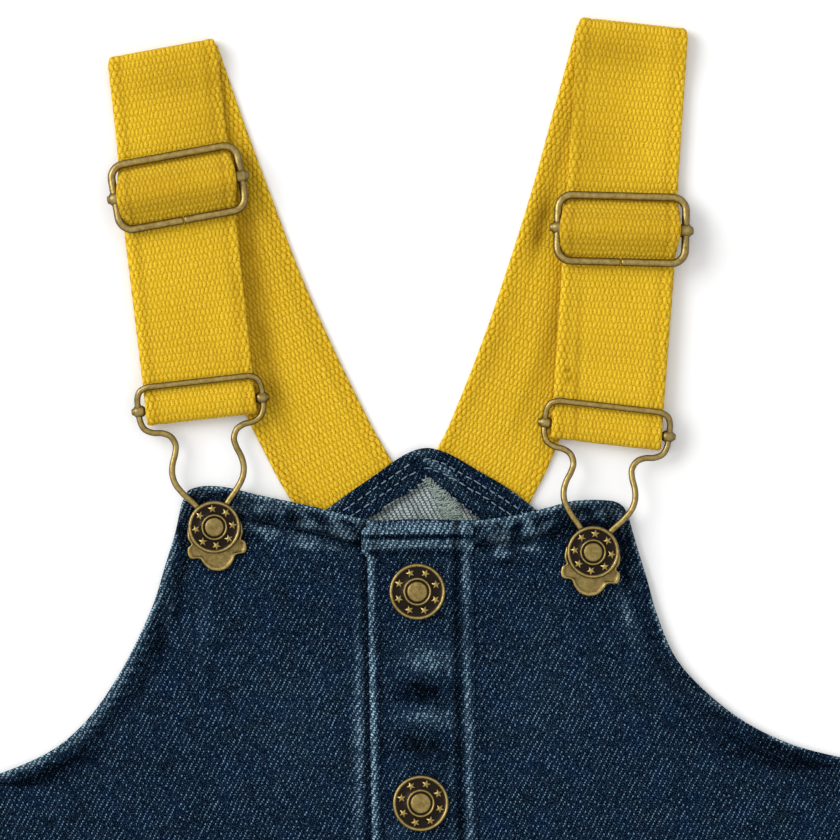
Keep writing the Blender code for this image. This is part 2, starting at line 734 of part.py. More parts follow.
def make_bar(name, centre, turn, height, half_span, wire_radius, wire_slope, hole_clear, material):
    """A bar across a frame, its beaded ends closed round the frame's side wires."""
    bead = wire_radius + GAP + BEAD_WALL
    profile = (  # distance along the bar from its middle, radius
        (half_span - bead - 0.3, BAR_RADIUS),
        (half_span - bead * 0.9, bead * 0.7),
        (half_span - bead * 0.4, bead),
        (half_span + bead * 0.4, bead),
        (half_span + bead * 0.9, bead * 0.7),
        (half_span + bead + 0.5, BAR_RADIUS * 0.7),
    )
    stations = [(-along, radius) for along, radius in reversed(profile)] + list(profile)
    sections = []
    for along, radius in stations:
        ring = []
        for i in range(BEAD_SIDES):
            angle = 2 * math.pi * i / BEAD_SIDES
            x, y = turned_about(centre, turn, along, radius * math.cos(angle))
            ring.append((x, y, height + radius * math.sin(angle)))
        sections.append(ring)
    bar = loft(name, sections, material)
    for end in (-half_span, half_span):
        x, y = turned_about(centre, turn, end, 0.0)
        direction_x, direction_y = turned_about(Point(0, 0), turn, 0.0, 1.0)
        direction = (direction_x, direction_y, wire_slope)
        cut(bar, rod_mesh((x, y, height), direction, wire_radius + hole_clear, 4 * bead))
    return bar


CLIP_SHAPE = (  # half of the clip's wire: distance from its axis, height above the button's centre
    (14.8, CLIP_LENGTH),
    (17.0, CLIP_LENGTH - 1.0),
    (18.0, CLIP_LENGTH - 3.3),
    (18.0, CLIP_LENGTH - CLIP_BAR),
    (17.9, CLIP_LENGTH - 9.6),
    (16.9, CLIP_LENGTH - 12.0),
    (14.6, CLIP_LENGTH - 13.3),
    (12.0, CLIP_LENGTH - 13.7),
    (9.7, CLIP_LENGTH - 14.9),
    (8.5, CLIP_LENGTH - 17.4),
    (8.9, CLIP_LENGTH - 20.0),
    (10.0, CLIP_LENGTH - 23.0),
    (10.4, CLIP_LENGTH - 26.0),
    (9.7, CLIP_LENGTH - 29.0),
    (7.6, CLIP_LENGTH - 32.2),
    (5.2, CLIP_LENGTH - 34.9),
    (3.9, CLIP_LENGTH - 36.6),
)
PLATE_SHAPE = (  # half of the plate's outline, from the button's centre
    (0.0, 4.5),
    (3.4, 4.4),
    (5.6, 3.6),
    (7.6, 1.2),
    (8.1, -2.4),
    (7.3, -4.3),
    (8.5, -5.2),
    (8.2, -8.2),
    (5.3, -8.7),
    (4.3, -10.4),
    (2.5, -12.2),
    (0.0, -12.9),
)


def seat_height(brace):
    """Lowest height at which the clip's plate and wires clear the cloth under them."""
    reach = (-9.0, -4.5, 0.0, 4.5, 9.0)
    spots = [clip_point(brace, x, up) for x in reach for up in (-12, -8, -4, 0, 4, 8, 11)]
    return max(top_of_front(x, y) for x, y in spots) + GAP


def make_clip(brace, material):
    """The clip's wire, from the plate up one side, across the webbing and down the other side."""
    seat = seat_height(brace)
    end_height = seat + CLIP_WIRE + 0.1

    def height(up):
        above_bar = max(0.0, up - (CLIP_LENGTH - CLIP_BAR))
        below_bar = ramp(up, 12.0, CLIP_LENGTH - CLIP_BAR)
        return mix(end_height, CLIP_BAR_HEIGHT, below_bar) + CLIP_SLOPE * above_bar

    half = [(x, up) for x, up, *_ in smooth_rows(CLIP_SHAPE, 2)]
    outline = [(-x, up) for x, up in reversed(half)] + half
    route = [(*clip_point(brace, x, up), height(up)) for x, up in outline]
    return wire(f"clip_{brace.side}", route, CLIP_WIRE, material)


def make_plate(brace, material):
    """The stamped plate that the wire's ends hook into, with a hole for the button's shank."""
    seat = seat_height(brace)
    outline = list(PLATE_SHAPE) + [(-x, y) for x, y in reversed(PLATE_SHAPE[1:-1])]
    sections = [
        [(*clip_point(brace, x, y), height) for x, y in outline]
        for height in (seat, seat + PLATE_THICK)
    ]
    plate = loft(f"clip_plate_{brace.side}", sections, material)
    cut(plate, rod_mesh((*brace.clip, seat), (0, 0, 1), SHANK_RADIUS + SHANK_HOLE, 6 * PLATE_THICK))
    return plate


def button_profile(radius, shank):
    """A jeans button: shank, rolled rim, sunken field, inner ring and a low dome."""
    return (
        (0.0, 0.0),
        (SHANK_RADIUS, 0.0),
        (SHANK_RADIUS, shank),
        (radius - RIM_CORNER, shank),
        (radius, shank + RIM_CORNER),
        (radius, shank + RIM_HEIGHT / 2 + RIM_CORNER / 2),
        (radius - RIM_CORNER, shank + RIM_HEIGHT),
        (radius - 2 * RIM_CORNER, shank + FIELD_HEIGHT),
        (radius * 0.5, shank + FIELD_HEIGHT),
        (radius * 0.43, shank + RIM_HEIGHT),
        (radius * 0.34, shank + FIELD_HEIGHT),
        (radius * 0.25, shank + DOME_HEIGHT * 0.9),
        (0.0, shank + DOME_HEIGHT),
    )


def make_buttons(material):
    for i in range(BUTTON_COUNT):
        x, y = TOP_BUTTON[0] + i * BUTTON_STEP[0], TOP_BUTTON[1] + i * BUTTON_STEP[1]
        placket_face = highest(top_of_front, (x, y), BUTTON_RADIUS) + GAP + PLACKET_EASE + PLACKET_THICK
        profile = button_profile(BUTTON_RADIUS, SHANK_LENGTH)
        turned(f"placket_button_{i + 1}", profile, (x, y, placket_face + GAP), BUTTON_SIDES, material)
    for brace in BRACES:
        cloth = highest(top_of_front, brace.clip, 2 * SHANK_RADIUS) + GAP
        shank = seat_height(brace) + 2 * CLIP_WIRE + 0.1 + GAP - cloth
        profile = button_profile(CLIP_BUTTON_RADIUS, shank)
        turned(f"clip_button_{brace.side}", profile, (*brace.clip, cloth), BUTTON_SIDES, material)


# ------------------------------------------------------------------ the whole garment
def main():
    clear_scene()
    denim = make_material("denim", (0.035, 0.075, 0.14), 0.85)
    webbing = make_material("webbing", (0.75, 0.50, 0.04), 0.8)
    brass = make_material("antique_brass", (0.42, 0.33, 0.17), 0.42, 0.9)

    back_rows = [*LEG_HEM_ROWS, *LEG_AND_BODY, *BACK_ARMHOLE]
    leg_and_body = [*LEG_HEM_ROWS, *smooth_rows(LEG_AND_BODY, 2)]
    left_rows = [*leg_and_body, *FRONT_LEFT_ARMHOLE]
    right_rows = [*leg_and_body, *FRONT_RIGHT_ARMHOLE]
    make_panel("back_left", -1, back_rows, BACK, denim)
    make_panel("back_right", 1, back_rows, BACK, denim)
    make_panel("front_left", -1, left_rows, FRONT, denim)
    make_panel("front_right", 1, right_rows, FRONT, denim)
    make_placket(right_rows, denim)
    for brace in BRACES:
        make_brace(brace, webbing)
        make_slider(brace, brass)
        slope = (SLIDER_HEIGHTS[0] - SLIDER_HEIGHTS[1]) / (2 * SLIDER_HALF[1])
        make_bar(
            f"slider_bar_{brace.side}", brace.slider, brace.slider_turn, BAR_HEIGHT,
            SLIDER_HALF[0], SLIDER_WIRE, slope, GAP + FINE_CLEAR, brass,
        )
        make_clip(brace, brass)
        bar_centre = Point(*clip_point(brace, 0, CLIP_LENGTH - CLIP_BAR))
        make_bar(
            f"clip_bar_{brace.side}", bar_centre, brace.clip_turn, CLIP_BAR_HEIGHT,
            CLIP_HALF, CLIP_WIRE, CLIP_SLOPE / 2, GAP + CLIP_HOLE_CLEAR, brass,
        )
        make_plate(brace, brass)
    make_buttons(brass)


main()
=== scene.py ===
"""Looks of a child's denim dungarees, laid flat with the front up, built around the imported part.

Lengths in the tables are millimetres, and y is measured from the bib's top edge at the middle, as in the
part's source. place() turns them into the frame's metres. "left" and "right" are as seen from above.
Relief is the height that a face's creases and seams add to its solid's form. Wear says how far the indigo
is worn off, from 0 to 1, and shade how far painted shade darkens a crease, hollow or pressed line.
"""

import math
from collections import namedtuple

import bpy
import numpy as np
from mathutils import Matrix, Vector
from mathutils.bvhtree import BVHTree


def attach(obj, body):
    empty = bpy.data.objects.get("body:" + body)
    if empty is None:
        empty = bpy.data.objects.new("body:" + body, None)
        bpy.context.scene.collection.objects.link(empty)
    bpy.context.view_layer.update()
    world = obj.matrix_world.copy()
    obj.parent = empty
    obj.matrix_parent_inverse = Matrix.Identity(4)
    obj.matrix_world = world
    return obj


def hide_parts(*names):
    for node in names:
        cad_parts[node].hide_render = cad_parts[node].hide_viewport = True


# ------------------------------------------------------------------ sizes of the part
MM = 0.001
SIDES = {"left": -1, "right": 1}  # and the sign of x there
GAP = 0.3
BODY_LENGTH = 590.0
MIDDLE_Y = 222.2  # moves the origin to the middle of the length
DENIM = 1.0
WEBBING = 1.5
WEBBING_WIDTH = 32.0
BACK_STRAND_WIDTH = 30.8

HEM_RELIEF = 0.7
HEM_STEP = 1.2  # width of the step where a hem ends
BIB_HEM = 8.0
BACK_HEM = 12.0
BACK_HEM_X = (34.0, 40.0)  # beyond this the back's hem lies under the front and isn't raised
ARMHOLE_HEM = 5.5
LEG_HEM = 20.0

PLACKET_LEFT = -14.8
PLACKET_RIGHT = 15.9
PLACKET_END = -172.0
PLACKET_THICK = 2.0
PLACKET_EASE = 0.1  # further clearance, since the band bends less than the cloth under it
PLACKET_LEAN = 0.016  # how far the band runs to the right for each unit down
UNDERLAP = 8.0  # how far the left front runs past the middle, under the band
UNDERLAP_RAMP = 12.0

BUTTON_RADIUS = 8.2
BUTTON_STEP = (1.0, -61.2)
BUTTON_COUNT = 3
TOP_BUTTON = (-0.2, -20.6)
BUTTON_TURNS = (-1.5, 7.0, -12.0)
CLIP_BUTTON_RADIUS = 7.65
SHANK_RADIUS = 2.5
SHANK_LENGTH = 0.9

SLIDER_WIRE = 1.15
SLIDER_HALF = (18.5, 9.55)
SLIDER_CORNER = 4.0
SLIDER_HEIGHTS = (5.6, 7.2)  # wire centre above the surface, at the upper and the lower bar
CLIP_WIRE = 0.9
SEAT_X = (-9.0, -4.5, 0.0, 4.5, 9.0)  # where the clip's seat on the cloth is measured
SEAT_UP = (-12, -8, -4, 0, 4, 8, 11)
CLIP_LENGTH = 42.4
CLIP_BAR = 6.7  # from the top bar down to the clip's own bar
CLIP_TOP_HEIGHT = 6.4
CLIP_HALF = 18.0  # half the clip's width, between wire centres
BAR_RADIUS = 0.9
BEAD_WALL = 0.5  # metal round the wire in a bar's beaded end
FINE_CLEAR = 0.02  # further clearance where two round pieces lie side by side
PLATE_CLEAR = 0.1

Row = namedtuple("Row", "side_x side_y inner_x inner_y")
LEG_AND_BODY = (
    Row(146.0, -590.0, 36.0, -590.0),  # hem
    Row(146.3, -570.0, 34.2, -570.0),
    Row(146.4, -568.8, 34.1, -568.8),
    Row(148.0, -500.0, 28.5, -500.0),
    Row(149.4, -430.0, 21.5, -430.0),  # knee
    Row(150.0, -360.0, 12.0, -360.0),
    Row(149.8, -315.0, 3.5, -318.0),
    Row(149.2, -296.0, 0.0, -300.0),  # crotch
    Row(146.5, -255.0, 0.0, -262.0),
    Row(142.0, -205.0, 0.0, -215.0),  # hip
    Row(137.0, -155.0, 0.0, -168.0),
    Row(134.6, -115.0, 0.0, -128.0),  # waist
    Row(134.4, -90.0, 0.0, -102.0),
)
FRONT_ARMHOLES = {
    "left": (
        Row(135.0, -77.0, 0.0, -88.0),  # underarm
        Row(121.2, -73.4, 0.0, -76.0),
        Row(106.1, -66.7, 0.0, -65.0),
        Row(96.0, -58.0, 0.0, -55.0),
        Row(87.6, -46.4, 0.0, -45.0),
        Row(81.4, -35.0, 0.0, -35.5),
        Row(76.5, -23.8, 0.0, -26.0),
        Row(73.2, -13.0, 0.0, -17.0),
        Row(70.5, -4.2, 0.0, -8.0),
        Row(68.6, 4.5, 0.0, 0.0),  # corner of the bib
    ),
    "right": (
        Row(135.0, -71.0, 0.0, -88.0),
        Row(122.4, -68.7, 0.0, -76.0),
        Row(107.8, -64.8, 0.0, -65.0),
        Row(94.0, -58.0, 0.0, -55.0),
        Row(82.0, -48.4, 0.0, -45.0),
        Row(74.4, -39.4, 0.0, -35.5),
        Row(69.2, -27.2, 0.0, -26.0),
        Row(66.2, -16.6, 0.0, -17.0),
        Row(63.2, -6.8, 0.0, -8.0),
        Row(60.9, 1.5, 0.0, 0.0),
    ),
}
BACK_ARMHOLE = (
    Row(134.6, -77.5, 0.0, -88.0),
    Row(121.0, -75.6, 0.0, -76.0),
    Row(108.0, -70.6, 0.0, -64.0),
    Row(96.0, -62.8, 0.0, -52.0),
    Row(84.6, -53.6, 0.0, -40.0),
    Row(76.0, -45.2, 0.0, -28.0),
    Row(70.0, -38.6, 0.0, -16.0),
    Row(65.5, -33.5, 0.0, -4.0),
    Row(61.0, -28.7, 0.0, 8.9),
    Row(58.0, -25.5, 0.0, 20.9),  # end of the slope; the peak
)
FRONT_TOP = (  # the bib's top edge, pulled up where the clips hold it: x, y
    (-68.6, 4.5), (-66.4, 8.7), (-57.9, 9.8), (-45.7, 7.2), (-30.0, 3.9), (-14.1, 0.1),
    (0.0, 0.4), (15.0, 0.0), (25.5, 1.0), (38.0, 3.8), (45.0, 5.6), (56.0, 5.6),
    (59.4, 4.0), (60.9, 1.5),
)
BACK_TOP = (  # the back's top edge, rising to a blunt peak between the braces
    (-58.0, -25.5), (-41.0, -8.5), (-24.1, 4.9), (-11.0, 14.1), (-4.0, 18.9), (2.0, 20.9),
    (8.0, 19.6), (16.0, 15.2), (29.6, 6.7), (44.0, -6.5), (58.0, -25.5),
)
TOP_EDGE_BLEND = 48.0  # how far below the top edge its shape fades out

Fold = namedtuple("Fold", "x y length width turn height")
LOFT = 0.9  # how far the front stands off the back where nothing presses on it
FOLDS = (  # the folds of the part's own front
    Fold(-82.0, -118.0, 42.0, 11.0, 22.0, 0.9),
    Fold(88.0, -112.0, 38.0, 10.0, -26.0, 0.8),
    Fold(-72.0, -196.0, 55.0, 13.0, -14.0, 0.8),
    Fold(66.0, -206.0, 50.0, 12.0, 18.0, 0.9),
    Fold(-44.0, -292.0, 46.0, 10.0, 34.0, 1.3),
    Fold(46.0, -288.0, 44.0, 10.0, -31.0, 1.4),
    Fold(-92.0, -338.0, 48.0, 12.0, 12.0, 1.0),
    Fold(96.0, -352.0, 44.0, 11.0, -9.0, 1.1),
    Fold(-80.0, -428.0, 50.0, 12.0, -20.0, 1.4),
    Fold(84.0, -436.0, 46.0, 11.0, 24.0, 1.3),
    Fold(-98.0, -506.0, 40.0, 10.0, 16.0, 1.0),
    Fold(90.0, -512.0, 42.0, 11.0, -13.0, 1.1),
)
UNDERARM = -77.0
FAR = 1e3  # the distance from an edge that isn't there
EDGE_RAMP = 24.0  # the loft falls to nothing within this distance of a seam or hem
BIB_PRESSED = (-34.0, -62.0)  # y between which the loft fades out towards the bib
BACK_LIFT = WEBBING + GAP  # the braces' tails under the cloth lift it
BACK_LIFT_X = (35.5, 42.5)
BACK_LIFT_Y = (-16.0, -30.0)
FRONT_LIFT = BACK_LIFT + HEM_RELIEF
FRONT_LIFT_X = (41.0, 52.0)
FRONT_LIFT_Y = (-18.0, -44.0)

Brace = namedtuple("Brace", "side fold fold_turn slider slider_turn clip clip_turn back_route")
BRACES = (
    Brace(
        side="left",
        fold=(-74.0, 134.5), fold_turn=10.4,
        slider=(-69.4, 96.2), slider_turn=10.3,
        clip=(-58.9, -2.0), clip_turn=6.5,
        back_route=(
            (-65.9, 111.1), (-57.6, 88.9), (-49.1, 66.6), (-39.2, 44.2),
            (-28.2, 21.9), (-22.8, 12.4), (-13.3, -4.0),
        ),
    ),
    Brace(
        side="right",
        fold=(62.2, 141.7), fold_turn=-6.2,
        slider=(58.9, 84.2), slider_turn=-1.5,
        clip=(50.6, -9.2), clip_turn=-6.5,
        back_route=(
            (54.1, 112.3), (47.8, 89.8), (40.7, 67.6), (33.0, 45.4),
            (23.9, 22.7), (19.3, 13.4), (10.6, -4.0),
        ),
    ),
)
FOLD_RADIUS = 1.6
ON_FLOOR = WEBBING / 2
ON_BACK = ON_FLOOR + WEBBING + GAP
ON_RETURN = ON_BACK + WEBBING + GAP
BAR_HEIGHT = sum(SLIDER_HEIGHTS) / 2
PLY_CLEAR = BAR_RADIUS + GAP + WEBBING / 2
OVER_BAR = BAR_HEIGHT + PLY_CLEAR
HUMP = OVER_BAR + WEBBING + GAP
HUMP_HALF = 10.3
RETURN_SHIFT = 0.5  # the return strand comes back to the slider's bar this far off the front strand
RETURN_STEPS = 12
WRAP_WIDTH = 32.4  # the webbing spreads a little between the slider's beads
WRAP_HALF = 2.45  # half-width of the webbing's wrap round the slider's bar
WRAP_TAIL = 40.0  # degrees that the wrapped end runs past the top of the bar
SETTLE = 18.0  # length in which the front strand comes down from the fold
CLIP_WRAP_HALF = 3.65
CLIP_BAR_HEIGHT = ON_BACK + PLY_CLEAR + FINE_CLEAR
OVER_CLIP_BAR = CLIP_BAR_HEIGHT + PLY_CLEAR + FINE_CLEAR
CLIP_SLOPE = (CLIP_TOP_HEIGHT - CLIP_BAR_HEIGHT) / CLIP_BAR
BRACE_TRIM = 0.3  # each brace's tail is trimmed at this distance from the middle

CLIP_SHAPE = tuple(  # half of the clip's wire: distance from its axis, height above the button's centre
    (x, CLIP_LENGTH - down)
    for x, down in (
        (14.8, 0.0), (17.0, 1.0), (18.0, 3.3), (18.0, CLIP_BAR), (17.9, 9.6), (16.9, 12.0),
        (14.6, 13.3), (12.0, 13.7), (9.7, 14.9), (8.5, 17.4), (8.9, 20.0), (10.0, 23.0),
        (10.4, 26.0), (9.7, 29.0), (7.6, 32.2), (5.2, 34.9), (3.9, 36.6),
    )
)
PLATE_SHAPE = (  # half of the plate's outline, from the button's centre
    (0.0, 4.5), (3.4, 4.4), (5.6, 3.6), (7.6, 1.2), (8.1, -2.4), (7.3, -4.3),
    (8.5, -5.2), (8.2, -8.2), (5.3, -8.7), (4.3, -10.4), (2.5, -12.2), (0.0, -12.9),
)

# ------------------------------------------------------------------ sizes of the looks alone
TWILL = (0.36, 0.695)  # pitch of the warp across and of the weft along the cloth
RIB = (1.224, 1.97)  # a webbing grain's width across the strap and length along it
GRAIN_BULGE = 0.5  # each grain's ends push in between those of the next row
COLUMN = 2.448  # pitch of the bolder columns near the strap's edges and on its back part
ROW_SPACING = (3.0, 0.72)  # on the legs, and from FINE_FROM up
FINE_FROM = -100.0
RIM_SPACING = 0.28  # between rows at the hems
EDGE_COLUMNS = (0.0, 0.15, 0.4, 0.8, 1.3, 1.9, 2.5, 3.1, 3.7, 4.3, 4.9, 5.5, 6.1, 6.7, 7.4)
RIM_COLUMNS = EDGE_COLUMNS[5::-1]
MEET = 0.002  # half the gap left between two halves where they are sewn together
SEAM_RISE = 0.36  # how far the front rises to the button band's sewn edge
BAND_EDGE = (11.0, 0.4)  # over these distances from its right edge the button band thins to its seam
BAND_EDGE_THICK = 0.26
CORNER_JUT = 1.7  # the band's upper left corner stands out by this much
FOLD_NARROWING = 1.1  # the webbing is narrower by this much at the top fold
STAR_RADIUS = 1.5
STAR_COUNT = 8
STAR_FIELD = 0.7  # the ring of stars, as a share of the button's radius
STAR_HEIGHT = 1.12
FRONT_STAR = 22.5  # the turn of a front button's first star, and of a clip button's
CLIP_STAR = 90.0
BUTTON_SIDES = 96
BRACE_SPACING = (0.45, 0.95)  # between a brace's rows of points, in its bends and elsewhere
SELVEDGE = 3.4
SELVEDGE_GRAINS = 0.2  # by this share the grains are larger in the selvedge
HUMP_SPREAD = 3.0  # the webbing spreads by this much over the bar
HUMP_SPREAD_REACH = 7.0
STITCH_INSET = 0.9  # from a hem's inner edge
STITCH_SINK = 0.08  # how deep a thread is pressed into the cloth
EDGE_ROUNDING = {"front": 0.85, "back": 0.8, "placket": 1.0}  # over this distance the cloth's edges thin
FRONT_COLUMNS = 108
BACK_COLUMNS = 74
PLACKET_COLUMNS = 56
SEWN_GAP = 0.03  # what is left of the gap between front and back at their seams
DARK_SPOT = 0.8  # how much painted shade a spot or band of strength -1 adds
FRONT_SEEDS = {"left": 20, "right": 40}  # each hem uses a few numbers from here on
BACK_SEEDS = {"left": 60, "right": 80}
PLACKET_SEED = 90
BRACE_SEED = 120
MARK_SEED = 130
SPOT_SEED = 5
BACK_HEM_PUCKERS = (10.0, 6.0)  # how far down they reach, and their pitch
REVERSE_FROM = 0.6  # the denim's reverse shows from this far below the back's turned hem
BACK_CREASES = (0.42, 4.0, 9.0, 1.2)  # slant, start, pitch and width

Gauge = namedtuple("Gauge", "radius pitch")
PEAK_GAUGE = Gauge(0.18, 2.7)
OUTER_GAUGE = Gauge(0.24, 2.6)
FRONT_GAUGE = Gauge(0.2, 2.6)
STITCH_SHARE = (0.66, 0.9)  # a stitch's length, as a share of the pitch
STITCH_STRAY = 0.2  # how far a stitch's ends are off their line
BACK_STITCH_SEED = 3
FRONT_STITCH_SEED = 5
OVERLOCK_SEED = 17
PEAK_STITCH_ROWS = (3.2, 5.8)  # their distances from the back's top edge
PEAK_STITCH_X = (0.4, 37.0)
BIB_STITCH_X = (17.5, 58.0)
LEG_HEM_STITCH_X = (36.0, 144.0)
SIDE_STITCH_Y = (-584.0, -100.0)
LEG_STITCH_Y = (-584.0, -336.0)
ARMHOLE_STITCH_Y = (-70.0, -4.0)
Loop = namedtuple("Loop", "x y reach")
OVERLOCK = (  # the raw edge that is overlocked, and how far the threads reach to its sides
    Loop(2.6, 11.4, 0.8),
    Loop(5.6, 8.0, 2.0),
    Loop(8.6, 3.8, 3.0),
    Loop(10.8, -1.0, 3.0),
    Loop(12.4, -8.0, 2.8),
    Loop(13.0, -14.0, 2.6),
)
OVERLOCK_PITCH = 0.24
OVERLOCK_RADIUS = 0.16
OVERLOCK_LEAN = 1.8
OVERLOCK_BOW = 1.5
BARE_TARNISH = 0.08
SIDE_PAINTED_SHADE = 0.9  # painted shade: the metal stays bare on top and is darkened down its sides

# Spots that are paler than the cloth round them, where it is worn, or darker where the strength is below 0,
# which is painted shade in folds, grooves and hollows. Length and width are halves, and turn is in degrees.
Spot = namedtuple("Spot", "x y length width turn strength")
FRONT_SPOTS = (
    Spot(-44.4, 3.4, 4.0, 1.4, -12.0, 0.8),
    Spot(-21.8, 1.0, 7.0, 0.8, -12.0, 1.0),
    Spot(-44.5, -2.9, 4.4, 0.7, -8.0, 0.6),
    Spot(-32.5, -1.2, 2.2, 1.2, 0.0, 0.6),
    Spot(-49.2, -0.2, 1.3, 1.6, 0.0, 0.5),
    Spot(-43.5, -5.2, 2.9, 0.8, 0.0, 0.5),
    Spot(57.0, 2.4, 4.2, 2.6, -40.0, 0.7),
    Spot(-74.2, -37.0, 1.7, 5.5, 0.0, -0.9),
    Spot(-91.0, -52.6, 12.0, 1.4, 54.0, 1.1),
    Spot(-100.7, -62.6, 9.0, 1.4, 41.0, 1.1),
    Spot(-113.4, -70.4, 11.0, 1.5, 24.0, 1.1),
    Spot(-69.6, -27.5, 1.2, 6.0, -8.0, -0.7),
    Spot(-72.0, -27.5, 1.6, 6.0, -8.0, 0.6),
    Spot(-38.0, 0.6, 3.0, 0.9, -10.0, -0.7),
    Spot(-50.0, -5.0, 4.0, 1.0, -8.0, -0.6),
    Spot(27.5, 0.4, 9.0, 0.8, 12.0, 0.9),
    Spot(45.0, 4.4, 5.0, 1.2, 4.0, 0.5),
    Spot(29.0, -2.6, 1.5, 2.6, 0.0, -0.4),
    Spot(38.5, -3.0, 2.0, 3.4, 0.0, -0.4),
    Spot(19.4, -6.4, 1.8, 2.6, 20.0, -0.4),
    Spot(-24.0, -3.1, 5.4, 1.0, -13.0, 0.9),
    Spot(-32.5, -7.2, 3.4, 1.0, -4.0, 0.8),
    Spot(-23.5, -8.2, 2.9, 0.8, -4.0, 0.7),
    Spot(-17.4, -6.4, 1.2, 3.0, 0.0, -0.8),
    Spot(23.8, -5.4, 2.4, 2.4, 12.0, 1.5),
    Spot(23.8, -9.8, 2.6, 1.2, 0.0, 1.0),
    Spot(33.2, -3.6, 3.6, 1.2, 6.0, 1.0),
    Spot(32.6, -8.2, 3.2, 1.0, 0.0, 0.7),
    Spot(26.0, -12.4, 9.0, 1.3, 3.0, -0.7),
    Spot(51.5, 1.6, 3.4, 2.4, 0.0, 0.35),
    Spot(-17.0, -62.0, 1.5, 32.0, 0.0, 0.75),
    Spot(60.8, -28.0, 1.7, 8.5, 18.0, 0.5),
    Spot(107.0, -69.5, 17.0, 4.0, -17.0, -0.9),
    Spot(98.5, -59.0, 17.0, 1.3, -26.5, 1.0),
    Spot(69.0, -31.0, 2.2, 6.5, 14.0, -0.5),
    Spot(-107.0, -73.2, 14.0, 2.2, 22.0, -0.8),
    Spot(-62.0, -30.0, 2.0, 9.0, -8.0, 0.25),
    Spot(-36.0, -60.0, 12.0, 16.0, 0.0, 0.1),
    Spot(36.0, -50.0, 12.0, 20.0, 0.0, 0.1),
    Spot(-84.0, -420.0, 30.0, 52.0, 0.0, 0.15),
    Spot(86.0, -424.0, 30.0, 54.0, 0.0, 0.15),
    Spot(-80.0, -250.0, 28.0, 70.0, 4.0, 0.1),
    Spot(82.0, -246.0, 28.0, 70.0, -4.0, 0.1),
    Spot(-58.0, -262.0, 30.0, 1.6, 24.0, 0.22),
    Spot(-66.0, -278.0, 26.0, 1.8, 18.0, 0.18),
    Spot(-72.0, -242.0, 24.0, 1.5, 30.0, 0.16),
    Spot(60.0, -258.0, 30.0, 1.6, -22.0, 0.22),
    Spot(66.0, -275.0, 26.0, 1.8, -17.0, 0.18),
    Spot(74.0, -240.0, 24.0, 1.5, -29.0, 0.16),
)
PLACKET_SPOTS = (
    Spot(0.4, -1.8, 16.0, 1.6, 0.0, 0.6),
    Spot(0.4, -4.9, 15.0, 0.6, 0.0, -0.9),
    Spot(0.4, -6.9, 15.0, 1.2, -1.0, 0.65),
    Spot(0.4, -9.4, 15.0, 1.0, 0.0, -0.7),
    Spot(3.0, -40.5, 8.0, 4.6, -6.0, 0.55),
    Spot(0.4, -49.4, 7.6, 3.2, 0.0, -1.5),
    Spot(1.3, -56.6, 8.0, 2.8, -6.0, 0.5),
    Spot(0.6, -65.4, 7.6, 3.2, 0.0, -1.3),
    Spot(-6.0, -100.0, 5.0, 12.0, 0.0, 0.25),
    Spot(4.0, -118.0, 6.0, 3.0, 0.0, -0.5),
)
Mark = namedtuple("Mark", "x y length width turn height shade")
# A mark's shade darkens the webbing: painted shade in the creases and along the back strand beside the
# front strand's edge.
STRAP_MARKS = {  # creases, rubbed places, pills and darker patches of each brace's strands
    ("left", "back"): (
        Mark(-47.5, 74.0, 26.0, 3.4, -80.0, -0.3, 0.5),
        Mark(-43.0, 44.0, 18.0, 2.6, -75.0, -0.25, 0.4),
        Mark(-37.0, 60.0, 30.0, 4.0, -68.0, 0.2, 0.0),
        Mark(-52.0, 100.0, 14.0, 1.6, -74.0, -0.2, 0.3),
    ),
    ("left", "front"): (
        Mark(-53.5, 122.0, 10.0, 1.3, -78.0, -0.25, 0.45),
        Mark(-52.0, 64.0, 9.0, 0.9, -83.0, -0.2, 0.4),
        Mark(-68.0, 66.0, 14.0, 6.0, 20.0, 0.12, 0.0),
        Mark(-72.0, 120.0, 20.0, 5.0, 12.0, 0.12, -0.05),
        Mark(-63.0, 127.0, 12.0, 3.0, 8.0, -0.12, 0.1),
        Mark(-60.0, 48.0, 12.0, 4.0, -14.0, -0.12, 0.08),
        Mark(-60.0, 120.0, 16.0, 9.0, -80.0, 0.0, 0.22),
        Mark(-74.0, 128.0, 9.0, 6.0, 0.0, 0.0, 0.12),
    ),
    ("right", "back"): (
        Mark(35.4, 85.3, 8.5, 2.0, 77.0, -0.45, 0.95),
        Mark(40.5, 60.0, 22.0, 3.6, 80.0, -0.3, 0.35),
        Mark(30.0, 66.0, 26.0, 2.0, 72.0, 0.2, -0.05),
        Mark(26.0, 56.0, 26.0, 1.6, 70.0, -0.2, 0.2),
        Mark(33.0, 38.0, 16.0, 2.4, 70.0, -0.2, 0.2),
        Mark(42.0, 108.0, 18.0, 1.2, 76.0, -0.2, 0.4),
    ),
    ("right", "front"): (
        Mark(45.6, 125.0, 13.0, 1.0, 85.0, -0.2, 0.35),
        Mark(46.2, 44.0, 26.0, 0.8, 88.0, -0.25, 0.4),
        Mark(66.0, 120.0, 16.0, 5.0, -10.0, 0.12, -0.05),
        Mark(58.0, 133.0, 14.0, 3.0, -8.0, -0.1, 0.1),
        Mark(61.0, 56.0, 13.0, 4.0, 12.0, 0.12, 0.0),
        Mark(55.0, 48.0, 12.0, 4.0, -8.0, -0.12, 0.08),
        Mark(50.5, 116.0, 24.0, 8.0, 85.0, 0.0, 0.22),
        Mark(60.0, 137.0, 16.0, 4.0, -6.0, 0.0, 0.2),
        Mark(70.0, 122.0, 8.0, 20.0, 0.0, 0.0, -0.06),
        Mark(43.3, 43.6, 0.8, 0.5, 20.0, 0.1, 1.2),
        Mark(43.8, 41.0, 1.0, 0.5, 70.0, 0.1, 1.2),
    ),
}
